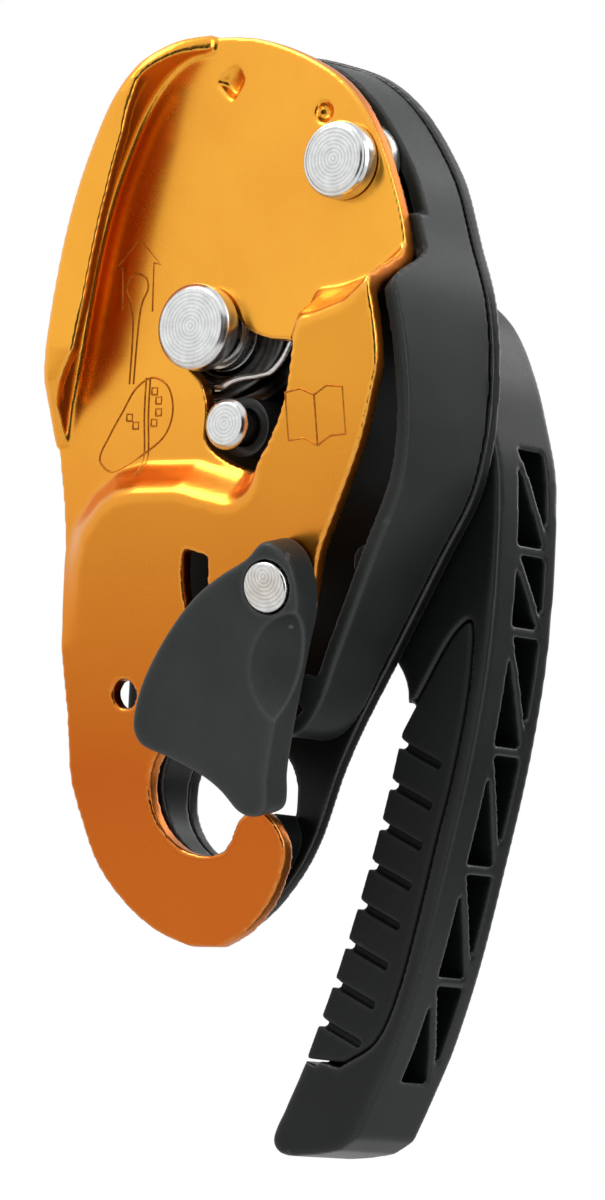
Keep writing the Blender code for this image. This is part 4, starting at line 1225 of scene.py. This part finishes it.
@dataclass
class SafetyGate(SubAssembly):
    """Grained gate over the eye, with its rivet, stop pin and spring."""

    body: str = "gate"
    thick: float = 7.0
    lift: float = 0.35
    rivet_dia: float = 8.1
    shank_dia: float = 5.0
    head_seat: float = 2.6
    head_rise: float = 0.5
    rivet_play: float = 0.1
    rivet_inset: float = 0.2
    rivet_edge: float = 0.12
    head_clear: float = 5.0
    shank_clear: float = 4.0
    edge_rounds: int = 34
    scoop_radius: float = 11.5
    scoop_spot: Point = (26.5, 19.6)
    scoop_rise: float = 6.3
    voxel: float = 0.3
    line: Sequence[Point] = (
        (26.0, 36.0), (24.0, 39.2), (21.0, 40.4), (17.4, 37.6), (12.5, 35.2), (7.4, 32.0),
        (2.7, 27.6), (-1.6, 22.4), (-4.8, 17.4), (-6.7, 12.6), (-6.9, 10.0), (-5.6, 7.8),
        (-0.3, 5.8), (6.0, 2.9), (9.5, 0.4), (12.3, -2.6), (15.3, -3.5), (17.6, -2.2),
        (18.3, 3.0), (20.6, 11.2), (24.3, 22.6), (26.6, 30.0))

    def shell(self) -> Item:
        """The moulded gate with its scoop.

        Returns:
            The gate, leaning as the plate does.
        """
        back = FACE.leaning(GATE_HINGE[1]) - self.lift
        front = back - self.thick
        item = moulded(plate("gate_shell", [smooth_loop(self.line)], front, back), self.voxel,
                       self.edge_rounds)
        head = cylinder("head", self.rivet_dia / 2 + GAP, front - self.head_clear,
                        front + self.head_seat, GATE_HINGE, 64)
        shank = cylinder("shank", self.shank_dia / 2 + GAP, front - self.shank_clear,
                         back + self.head_clear, GATE_HINGE, 64)
        work = bmesh.new()
        bmesh.ops.create_uvsphere(work, u_segments=96, v_segments=64,
                                  radius=self.scoop_radius * MM)
        scoop = finished_mesh(work, "scoop")
        scoop.location = at(self.scoop_spot[0], front - self.scoop_rise, self.scoop_spot[1])
        return lean(moulded(cut(item, [head, shank, scoop]), self.voxel, 4))

    def rivet(self) -> Item:
        """The hinge rivet with its chamfered head.

        Returns:
            The rivet, leaning as the plate does.
        """
        back = FACE.leaning(GATE_HINGE[1])
        front = back - self.lift - self.thick
        end = back + PLATE_THICK - self.rivet_inset
        head, shank = self.rivet_dia / 2, self.shank_dia / 2 - self.rivet_play
        under = front + self.head_seat - GAP
        face = front - self.head_rise
        item = turned("gate_rivet_look", [
            (0, face), (head - GAP, face), (head, face + GAP), (head, under), (shank, under),
            (shank, end), (0, end)], GATE_HINGE)
        return recentre(lean(rounded(item, self.rivet_edge, TURNED_ANGLE)), GATE_HINGE)

    def build(self) -> None:
        """Build the gate's pieces."""
        self.fit(self.shell(), Finish.GATE, "safety_gate")
        self.fit(self.rivet(), Finish.STEEL, "gate_rivet", body="plate")
        self.softened("gate_stop_pin", Finish.STEEL, 0.12)
        self.softened("gate_spring", Finish.WIRE, 0.01, body="plate")


@dataclass
class Frame(SubAssembly):
    """Black fixed plate, moulded wall, spacer, wear strip and their fasteners."""

    eye_radius: float = 10.6
    collar_hole: float = 7.8
    pivot_hole: float = 3.5
    stud_hole: float = 3.1
    sink_radii: Point = (2.4, 2.6)
    sink_depth: float = 0.9
    sink_clear: float = 2.0
    wall_front: float = -16.0
    wall_thick: float = 2.4
    wall_step: float = 92.0
    wall_top: float = 5.5
    set_back_reach: Point = (60.0, 140.0)
    block_grid: float = 1.6
    spacer_angles: Point = (118, 345)
    boss_dia: float = 5.6
    boss_front: float = 4.0
    spacer_front: float = -5.0
    spacer_gap: float = 2.1
    voxel: float = 0.38
    right: Sequence[Point] = (
        (-5.0, 120.4), (5.5, 120.2), (14.6, 118.2), (20.2, 116.1), (25.0, 112.9),
        (29.2, 108.7), (33.6, 102.6), (36.3, 97.7), (39.4, 88.7), (42.4, 80.4), (43.8, 72.4),
        (44.1, 64.4), (43.6, 57.0), (41.5, 48.4), (36.3, 38.8), (26.9, 21.4), (22.2, 12.9),
        (18.4, 4.9), (15.6, -3.3), (13.8, -7.7), (11.3, -11.9), (7.6, -16.4), (3.6, -19.9),
        (-0.8, -22.3))
    left: Sequence[Point] = (
        (-6.0, -21.6), (-13.0, -18.4), (-18.6, -12.4), (-21.8, -4.4), (-23.6, 8.0),
        (-24.2, 24.0), (-24.4, 40.0), (-25.4, 56.0), (-24.6, 72.0), (-22.6, 88.0),
        (-18.6, 102.0), (-12.6, 114.0))
    wall: Sequence[Point] = (
        (16.8, 117.2), (20.2, 115.7), (25.0, 112.4), (29.0, 108.3), (33.3, 102.3),
        (36.0, 97.4), (39.1, 88.5), (42.1, 80.2), (43.4, 72.4), (43.7, 64.4), (43.2, 57.0),
        (41.1, 48.5), (35.9, 39.0), (26.5, 21.6), (22.6, 14.2), (18.8, 10.2), (14.4, 9.6),
        (12.2, 13.0))
    spacer_outer: Sequence[Point] = (
        (11.0, -2.6), (12.4, -6.4), (10.6, -11.2), (6.6, -15.6), (0.0, -19.4),
        (-6.8, -18.6), (-13.0, -14.6), (-17.0, -8.2), (-18.0, 0.0), (-16.6, 6.0))
    spacer_top: Sequence[Point] = (
        (-14.8, 9.6), (-13.2, 12.6), (-8.6, 13.6), (-4.6, 11.6))

    def block(self, gap: float) -> Item:
        """A cutter that clears all that lies in front of the plate's back face."""
        return FACE.solid("block", self.block_grid, lambda x, z: CLEAR_FRONT,
                          lambda x, z: FACE.back(x, z) + gap)

    def fixed_plate(self) -> Item:
        """The flat plate at the back, with its eye.

        Returns:
            The plate with its holes and screw seats.
        """
        holes = [circle(EYE, self.eye_radius), circle(AXLE, self.collar_hole),
                 circle(PIVOT, self.pivot_hole), circle(STUD, self.stud_hole)]
        item = plate("fixed_plate", [open_curve(self.right) + open_curve(self.left)] + holes,
                     FIXED_FRONT, FIXED_BACK)
        floor, end = FIXED_BACK - self.sink_depth, FIXED_BACK + self.sink_clear
        inner, outer = self.sink_radii
        profile = [(0, floor), (inner, floor), (outer, end), (0, end)]
        sinks = [turned("sink", profile, spot, 40) for spot in SCREWS]
        return moulded(cut(item, sinks), self.voxel, 3)

    def housing(self) -> Item:
        """The moulded wall that closes the rope channel.

        Returns:
            The wall with its screw bosses.
        """
        inner = offset_path(open_curve(self.wall, 2), -self.wall_thick)
        back = FIXED_FRONT - GAP
        item = plate("housing", [open_curve(self.wall) + inner[::-1]], self.wall_front, back)
        item = cut(item, [cylinder("boss", self.boss_dia / 2, self.boss_front, back, spot)
                          for spot in SCREWS], "UNION")
        right, high = self.set_back_reach
        upper = [(0, self.wall_step), (right, self.wall_step), (right, high), (0, high)]
        top = plate("set_back", [upper], CLEAR_FRONT, self.wall_top)
        return moulded(cut(item, [self.block(GAP), top]), self.voxel, 4)

    def spacer(self) -> Item:
        """The black spacer that thickens the eye.

        Returns:
            The spacer, cut to the moving plate's back.
        """
        outline = (arc(EYE, self.eye_radius, *self.spacer_angles, 60)
                   + open_curve(self.spacer_outer) + open_curve(self.spacer_top))
        item = plate("eye_spacer", [outline], self.spacer_front, FIXED_FRONT - GAP)
        return moulded(cut(item, [self.block(self.spacer_gap)]), self.voxel, 4)

    def build(self) -> None:
        """Build the fixed pieces."""
        self.fit(self.fixed_plate(), Finish.BLACK, "fixed_side_plate")
        self.fit(self.housing(), Finish.HOUSING, "side_housing")
        self.fit(self.spacer(), Finish.BLACK, "attachment_spacer")
        self.softened("friction_plate", Finish.STEEL, 0.2)
        for i, spot in enumerate(SCREWS):
            self.softened("housing_screw_%d" % (i + 1), Finish.STEEL, 0.08, spot)
        for i, spot in enumerate(TAB_RIVETS):
            self.softened("tab_rivet_%d" % (i + 1), Finish.STEEL, 0.1, spot)
        self.softened("stud_ring", Finish.BLACK, 0.2, STUD)


@dataclass
class Pins(SubAssembly):
    """Turned axle, stud and plate pivot, with their washers and bushes."""

    head_dia: float = 13.9
    face_dia: float = 12.1
    neck_dia: float = 9.0
    head_rise: float = 4.1
    head_edge: float = 0.9
    head_under: float = 0.6
    neck_end: float = HANDLE_BACK - 4.0
    pivot_dia: float = 12.5
    pivot_rise: float = 3.5
    pivot_shank: float = 6.4
    # How far in from the rim, and how far down, the pivot's stepped face goes.
    pivot_face: Sequence[Point] = ((1.1, 0.0), (0.9, 0.25), (0.4, 0.3), (0.0, 1.0))
    stud_dia: float = 8.3
    stud_neck: float = 5.6
    stud_rise: float = 1.8
    stud_chamfer: float = 0.8
    stud_edge: float = 1.2
    shank_end: float = FIXED_BACK - 0.05
    edge: float = 0.14

    def pin(self, name: str, face: Sequence[Point], under: float, neck: float, end: float,
            centre: Point) -> Item:
        """A turned pin whose rings run round its own axis.

        Args:
            name: Name of the object.
            face: Radius and depth of the head's points, from its flat face outwards.
            under: Depth of the head's underside.
            neck: Radius behind the head.
            end: Depth of the far end.
            centre: X and Z of the axis.

        Returns:
            The pin.
        """
        profile = [(0, face[0][1]), *face, (face[-1][0], under), (neck, under), (neck, end),
                   (0, end)]
        item = rounded(turned(name, profile, centre, 128), self.edge, TURNED_ANGLE)
        return recentre(item, centre)

    def axle(self) -> Item:
        """Main axle with its wide chamfered head.

        Returns:
            The axle.
        """
        face = [(self.face_dia / 2, -self.head_rise),
                (self.head_dia / 2, self.head_edge - self.head_rise)]
        return self.pin("axle_look", face, -self.head_under, self.neck_dia / 2, self.neck_end,
                        AXLE)

    def pivot(self) -> Item:
        """Plate pivot with a stepped head.

        Returns:
            The pivot.
        """
        face = [(self.pivot_dia / 2 - inward, down - self.pivot_rise)
                for inward, down in self.pivot_face]
        return self.pin("pivot_look", face, -GAP, self.pivot_shank / 2, self.shank_end, PIVOT)

    def stud(self) -> Item:
        """Catch stud.

        Returns:
            The stud.
        """
        head, rise = self.stud_dia / 2, self.stud_rise
        face = [(head - self.stud_chamfer, -rise), (head, self.stud_chamfer - rise)]
        return self.pin("stud_look", face, self.stud_edge - rise, self.stud_neck / 2,
                        self.shank_end, STUD)

    def build(self) -> None:
        """Build the pins."""
        self.fit(self.axle(), Finish.STEEL, "cam_axle")
        self.fit(self.pivot(), Finish.STEEL, "plate_pivot_rivet")
        self.fit(self.stud(), Finish.STEEL, "catch_stud")
        for node, centre in (("pivot_washer", PIVOT), ("pivot_bush", PIVOT), ("cam_washer", AXLE),
                             ("spring_post", SPRING_POST), ("hub_washer", AXLE),
                             ("axle_nut", AXLE)):
            self.softened(node, Finish.STEEL, 0.2, centre)


@dataclass
class Cam(SubAssembly):
    """Grooved cam, its bush and pin, and the wavy wire spring that returns it."""

    body: str = "cam"
    front: float = 5.6
    width: float = 10.6
    bore: float = 6.9
    groove: float = 2.6
    groove_out: float = 0.7
    wire: float = 1.2
    post_radius: float = 1.6
    pitch: float = 1.75
    depth: float = 4.2
    turns: float = 3.25
    turn_steps: int = 36
    voxel: float = 0.3
    # Angle in degrees and radius of the cam's edge.
    radii: Sequence[Point] = (
        (0, 12.0), (30, 12.8), (60, 15.0), (90, 18.0), (120, 20.2), (150, 21.0), (180, 20.4),
        (205, 18.2), (225, 14.6), (245, 11.8), (270, 10.6), (300, 10.4), (330, 11.0))
    leg: Sequence[Point] = (
        (-0.2, 64.9), (0.9, 65.0), (3.2, 66.1), (5.6, 66.6), (8.0, 66.8), (10.2, 67.3),
        (12.2, 69.0), (13.6, 71.2), (14.9, 74.4))

    def wheel(self) -> Item:
        """The cam with a round groove along its edge.

        Returns:
            The cam.
        """
        outline = smooth_loop([polar(AXLE, radius, math.radians(angle))
                               for angle, radius in self.radii], 8)
        back = self.front + self.width
        item = plate("cam_look", [outline, circle(AXLE, self.bore)], self.front, back)
        path = []
        for x, z in outline:
            reach = (math.dist((x, z), AXLE) + self.groove_out) / math.dist((x, z), AXLE)
            path.append((AXLE[0] + (x - AXLE[0]) * reach, (self.front + back) / 2,
                         AXLE[1] + (z - AXLE[1]) * reach))
        groove = tube("groove", [path], self.groove, 6, closed=True)
        return recentre(moulded(cut(item, [groove]), self.voxel, 2), AXLE)

    def spring(self) -> Item:
        """The leg and coil of the return spring as one wire.

        Returns:
            The spring.
        """
        radius = self.post_radius + GAP + self.wire / 2
        points = [(x, self.depth, z) for x, z in open_curve(self.leg, 8)]
        for i in range(int(self.turns * self.turn_steps) + 1):
            x, z = polar(SPRING_POST, radius, math.pi - 2 * math.pi * i / self.turn_steps)
            points.append((x, self.depth + self.pitch * i / self.turn_steps, z))
        return shade(tube("cam_spring_look", [points], self.wire / 2), 50.0)

    def build(self) -> None:
        """Build the cam and its spring."""
        self.fit(self.wheel(), Finish.CAM, "cam")
        self.fit(self.spring(), Finish.WIRE, "cam_return_spring", body="frame")
        self.softened("cam_bush", Finish.STEEL, 0.2, AXLE)
        self.softened("cam_pin", Finish.STEEL, 0.15)


@dataclass
class Handle(SubAssembly):
    """Moulded lever with a ribbed channel, soft grip, collar and return spring."""

    body: str = "handle"
    wall: float = 2.6
    channel: float = 9.5
    rib: float = 1.6
    grip_depth: float = 9.0
    grip_front: float = 2.4
    grip_side: float = 2.4
    # Finger slots, and the nicks where they meet the grip's edge.
    slot_width: float = 1.25
    slot_depth: float = 1.3
    slot_count: int = 8
    slot_angle: float = -24.0
    slot_length: float = 9.0
    slot_lead: float = 3.0
    slot_clear: float = 2.0
    slot_span: Point = (0.03, 0.85)
    nick_width: float = 1.55
    nick_length: float = 0.9
    nick_lead: float = 3.5
    nick_depth: float = 6.5
    nick_clear: float = 2.1
    # How far the cutters stand clear of what they cut.
    cell_out: float = 4.0
    seat_out: float = 6.0
    seat_clear: float = 5.0
    wrap_out: float = 8.0
    wrap_clear: float = 7.0
    core_out: float = 5.0
    core_corners: Floats = (60.0, 70.0, -70.0)
    grip_voxel: float = 0.3
    grip_rounds: int = 16
    edge_rounds: int = 14
    voxel: float = 0.4
    # Radius, and depth from the handle's front, of the room for the axle, collar and nut.
    hub: Sequence[Point] = (
        (0, -21), (8.75, -21), (8.75, 7.4), (4.8, 7.4), (4.8, 13.0), (11.5, 13.0), (11.5, 69),
        (0, 69))
    right: Sequence[Point] = (
        (-9.0, 89.4), (0.0, 92.4), (10.0, 91.8), (20.0, 88.2), (28.6, 82.8), (34.4, 77.6),
        (38.6, 69.8), (41.4, 61.6), (43.6, 53.0), (44.1, 40.0), (43.9, 30.0), (43.1, 20.0),
        (40.8, 5.4), (37.2, -10.9), (33.8, -25.0), (29.6, -38.2), (26.2, -46.0), (22.6, -53.6))
    grip_edge: Sequence[Point] = (
        (12.2, -41.2), (17.2, -27.6), (21.3, -14.4), (24.8, -1.0), (27.4, 11.2))
    foot: Sequence[Point] = (
        (19.0, -55.8), (13.0, -56.7), (8.0, -56.6), (6.4, -54.4), (8.6, -49.2))
    neck: Sequence[Point] = (
        (28.2, 15.6), (27.6, 19.4), (25.0, 23.4), (18.0, 34.0), (9.0, 46.0), (0.0, 55.6),
        (-9.0, 60.4), (-15.8, 66.0), (-18.4, 74.0), (-15.8, 83.6))
    grip_right: Sequence[Point] = (
        (31.0, 17.6), (36.4, 26.6), (39.6, 29.0), (40.0, 22.0), (39.2, 14.0), (37.2, 3.0),
        (35.0, -6.0), (32.4, -17.6), (29.0, -30.6), (25.4, -38.0), (19.6, -41.6))
    bays: Floats = (58.0, 41.0, 28.0, 9.0, -10.0, -28.0, -45.0)

    def edge_at(self, z: float) -> float:
        """X of the lever's right edge at a height.

        Args:
            z: The height.

        Returns:
            X of the edge.
        """
        line = open_curve(self.right, 3)
        for (x0, z0), (x1, z1) in zip(line, line[1:]):
            if (z0 - z) * (z1 - z) <= 0 and z0 != z1:
                return x0 + (x1 - x0) * (z - z0) / (z1 - z0)
        return line[-1][0]

    def shrunk(self, points: Loop) -> Loop:
        """A triangle with every side moved inward by half a rib.

        Args:
            points: The triangle's corners, as depth and Z.

        Returns:
            The corners of the smaller triangle.
        """
        middle = sum((Vector(p) for p in points), Vector((0, 0))) / len(points)
        lines = []
        for index, point in enumerate(points):
            along = (Vector(points[(index + 1) % len(points)]) - Vector(point)).normalized()
            normal = Vector((-along.y, along.x))
            if (middle - Vector(point)).dot(normal) < 0:
                normal = -normal
            lines.append((Vector(point) + normal * self.rib / 2, along))
        result: Loop = []
        for index, (q, e) in enumerate(lines):
            p, d = lines[index - 1]
            t = ((q.x - p.x) * e.y - (q.y - p.y) * e.x) / (d.x * e.y - d.y * e.x)
            result.append((p.x + d.x * t, p.y + d.y * t))
        return result

    def cells(self) -> list[Item]:
        """Cutters for the triangular pockets between the ribs.

        Returns:
            One cutter for each pocket.
        """
        front = HANDLE_FRONT + self.grip_front + GAP + self.wall
        back = HANDLE_BACK - self.wall
        made = []
        for top, low in zip(self.bays, self.bays[1:]):
            for triangle in ([(front, top), (back, top), (back, low)],
                             [(front, top), (back, low), (front, low)]):
                made.append(hull("cell", [(self.edge_at(z) + reach, depth, z)
                                          for depth, z in self.shrunk(triangle)
                                          for reach in (-self.channel, self.cell_out)]))
        return made

    def lever(self) -> Item:
        """The lever with its channel, grip seat and hub.

        Returns:
            The lever.
        """
        outline = open_curve(self.right) + open_curve([*self.foot, *self.grip_edge, *self.neck])
        item = moulded(plate("lever", [outline], HANDLE_FRONT, HANDLE_BACK), self.voxel,
                       self.edge_rounds)
        left = lengthened(open_curve(self.grip_edge), GAP)
        right = lengthened(open_curve(self.grip_right), 4 * GAP)
        seat = plate("seat", [offset_path(left, self.seat_out) + offset_path(right, GAP)],
                     HANDLE_FRONT - self.seat_clear, HANDLE_FRONT + self.grip_front + GAP)
        inner = offset_path(left, -self.grip_side - GAP)[::-1]
        wrap = plate("wrap", [offset_path(left, self.wrap_out) + inner],
                     HANDLE_FRONT - self.wrap_clear, HANDLE_FRONT + self.grip_depth + GAP)
        hub = turned("hub", [(radius, HANDLE_FRONT + depth) for radius, depth in self.hub], AXLE)
        return moulded(cut(item, [merged(self.cells()), seat, wrap, hub]), self.voxel, 3)

    def slot_places(self) -> Loop:
        """Points spaced evenly down the grip's left edge.

        Returns:
            X and Z of each slot's start.
        """
        line = open_curve(self.grip_edge, 12)[::-1]
        spans = [math.dist(a, b) for a, b in zip(line, line[1:])]
        first, length = self.slot_span
        spots: Loop = []
        for number in range(self.slot_count):
            goal = sum(spans) * (first + length * number / (self.slot_count - 1))
            for (a, b), span in zip(zip(line, line[1:]), spans):
                if goal <= span:
                    spots.append(tuple(Vector(a).lerp(Vector(b), goal / span)))
                    break
                goal -= span
        return spots

    def bars(self, lead: float, length: float, width: float, clear: float,
             depth: float) -> Item:
        """Slanted cutters at all slot places, as one.

        Args:
            lead: How far each bar starts before the grip's edge.
            length: How far it goes in from the edge.
            width: Width of a bar.
            clear: How far it stands out of the handle's front.
            depth: How deep it cuts from the handle's front.

        Returns:
            The bars, which don't touch each other.
        """
        turn = math.radians(self.slot_angle)
        along = Vector((math.cos(turn), math.sin(turn)))
        side = Vector((-along.y, along.x)) * (width / 2)
        made = []
        for spot in self.slot_places():
            near = Vector(spot) - along * lead
            far = near + along * (length + lead)
            made.append(plate("bar", [[near + side, far + side, far - side, near - side]],
                              HANDLE_FRONT - clear, HANDLE_FRONT + depth))
        return merged(made)

    def grip(self) -> Item:
        """The soft pad with its finger slots.

        Returns:
            The pad.
        """
        left = open_curve(self.grip_edge)
        item = plate("grip", [left + open_curve(self.grip_right)], HANDLE_FRONT,
                     HANDLE_FRONT + self.grip_depth)
        item = moulded(item, self.grip_voxel, self.grip_rounds)
        short = lengthened(left, -GAP)
        outer = offset_path(short, self.core_out)
        start, end = outer[0], outer[-1]
        high, far, low = self.core_corners
        behind = [end, (end[0], high), (far, high), (far, low), (start[0], low), start]
        core = plate("core", [offset_path(short, -self.grip_side) + behind],
                     HANDLE_FRONT + self.grip_front,
                     HANDLE_FRONT + self.grip_depth + self.core_out)
        slots = self.bars(self.slot_lead, self.slot_length, self.slot_width, self.slot_clear,
                          self.slot_depth)
        nicks = self.bars(self.nick_lead, self.nick_length, self.nick_width, self.nick_clear,
                          self.nick_depth)
        return moulded(cut(item, [core, slots, nicks]), self.grip_voxel, 3)

    def build(self) -> None:
        """Build the handle's pieces."""
        self.fit(self.lever(), Finish.LEVER, "handle_lever")
        self.fit(self.grip(), Finish.GRIP, "handle_grip")
        self.softened("release_collar", Finish.STEEL, 0.2, AXLE)
        self.softened("handle_return_spring", Finish.WIRE, 0.01, body="frame")


# Studio


@dataclass
class Studio:
    """Pale floor, soft lamps, cards that the metal mirrors, and the camera."""

    aim: Floats = (0.0146, -0.0024, 0.0314)
    distance: float = 1.2
    lens: float = 226.0
    sensor: float = 36.0
    clip: Point = (0.05, 20.0)
    right_axis: Floats = (5.15, 3.58, 0.327)
    up_axis: Floats = (0.0, -0.573, 6.253)
    floor_height: float = -0.075
    floor_radius: float = 0.25
    floor_tones: Sequence[Floats] = ((0.86, 0.86, 0.86), (0.9, 0.9, 0.9))
    floor_grain: float = 30.0
    floor_roughness: float = 0.7
    soft_light: float = 0.45
    lamps: Sequence[tuple[str, Floats, Floats, float]] = (
        ("key", (-0.45, -0.55, 0.95), (0.6, 0.6), 7.0),
        ("side", (0.85, -0.10, 0.35), (0.30, 0.9), 2.2),
        ("back", (0.35, 0.80, 0.40), (0.6, 0.6), 2.4))
    cards: Sequence[tuple[str, Floats, Floats, Floats]] = (
        ("low_card", (-0.40, -0.50, -0.22), (0.70, 0.34), (0.80, 0.74, 0.66)),
        ("back_card", (0.50, 0.50, -0.10), (0.60, 1.2), (0.10, 0.10, 0.10)),
        ("lens_card", (0.52, -0.60, 0.02), (0.75, 0.90), (0.01, 0.01, 0.01)))

    def turn_to_aim(self, item: Item, spot: Floats, front: str) -> None:
        """Put a lamp or card in its place and turn one of its axes to the object."""
        item.location = spot
        item.rotation_euler = (Vector(self.aim) - Vector(spot)).to_track_quat(front, "Y").to_euler()

    def lamp(self, name: str, spot: Floats, size: Floats, power: float) -> None:
        """A soft area lamp that points at the object.

        Args:
            name: Name of the lamp.
            spot: Its place in metres.
            size: Its width and height in metres.
            power: Its watts.
        """
        data = bpy.data.lights.new(name, "AREA")
        data.shape = "RECTANGLE"
        data.size, data.size_y = size
        data.energy = power
        self.turn_to_aim(link(name, data), spot, "-Z")

    def card(self, name: str, spot: Floats, size: Floats, tone: Floats) -> None:
        """A card beside the object that only mirrors in its metal.

        Args:
            name: Name of the card.
            spot: Its place in metres.
            size: Its width and height in metres.
            tone: The colour that it shows in the metal.
        """
        wide, high = size[0] / 2, size[1] / 2
        work = bmesh.new()
        work.faces.new([work.verts.new((x * wide, y * high, 0))
                        for x, y in ((-1, -1), (1, -1), (1, 1), (-1, 1))])
        item = finished_mesh(work, name)
        self.turn_to_aim(item, spot, "Z")
        n = Nodes(bpy.data.materials.new(name))
        glow = n.add("Emission", {"Color": (*tone, 1)})
        n.give(n.tree.nodes["Material Output"].inputs["Surface"], glow.outputs["Emission"])
        item.data.materials.append(n.owner)
        item.visible_camera = False
        item.visible_diffuse = False
        item.visible_shadow = False
        item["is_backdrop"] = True

    def floor(self) -> None:
        """A plain pale floor under the object."""
        work = bmesh.new()
        bmesh.ops.create_circle(work, cap_ends=True, segments=96, radius=self.floor_radius)
        item = finished_mesh(work, "floor")
        item.location = (self.aim[0], self.aim[1], self.floor_height)
        n = Nodes(bpy.data.materials.new("pale_floor"))
        tone = n.ramp(n.noise(self.floor_grain), *zip((0.3, 0.7), self.floor_tones))
        item.data.materials.append(n.finish(Base_Color=tone, Roughness=self.floor_roughness))
        item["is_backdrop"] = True

    def world(self) -> None:
        """White behind the object and in its mirrors, and a softer light on it."""
        world = bpy.data.worlds.new("studio")
        bpy.context.scene.world = world
        n = Nodes(world)
        path = n.add("LightPath").outputs
        seen = n.sums("MAXIMUM", path["Is Camera Ray"], path["Is Glossy Ray"])
        background = n.tree.nodes["Background"].inputs
        n.give(background["Color"], (1, 1, 1, 1))
        n.give(background["Strength"], n.spread(seen, self.soft_light, 1.0, 0.0, 1.0))

    def camera(self) -> None:
        """The camera at the photograph's place and tilt."""
        right = Vector(self.right_axis).normalized()
        up = Vector(self.up_axis).normalized()
        back = right.cross(up).normalized()
        data = bpy.data.cameras.new("camera")
        data.lens = self.lens
        data.sensor_width = self.sensor
        data.clip_start, data.clip_end = self.clip
        item = link("camera", data)
        turn = Matrix((right, up, back)).transposed().to_4x4()
        item.matrix_world = Matrix.Translation(Vector(self.aim) + back * self.distance) @ turn
        bpy.context.scene.camera = item

    def build(self) -> None:
        """Set up the whole studio."""
        self.world()
        self.floor()
        self.camera()
        for lamp in self.lamps:
            self.lamp(*lamp)
        for card in self.cards:
            self.card(*card)
        bpy.context.scene.view_settings.view_transform = "Standard"


def corners() -> list[list[float]]:
    """Lowest and highest corner of what is shown, as plain lists."""
    low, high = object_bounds()
    return [list(low), list(high)]


def main() -> None:
    """Load the frame, dress every piece and set up the studio."""
    logging.basicConfig(level=logging.INFO, format="%(name)s: %(message)s")
    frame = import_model()
    paints = Paintbox()
    nodes = frame["nodes"]
    groups = [MovingPlate(paints, nodes), SafetyGate(paints, nodes), Frame(paints, nodes),
              Pins(paints, nodes), Cam(paints, nodes), Handle(paints, nodes)]
    for group in groups:
        group.build()
    Studio().build()


if __name__ == "__main__":
    main()
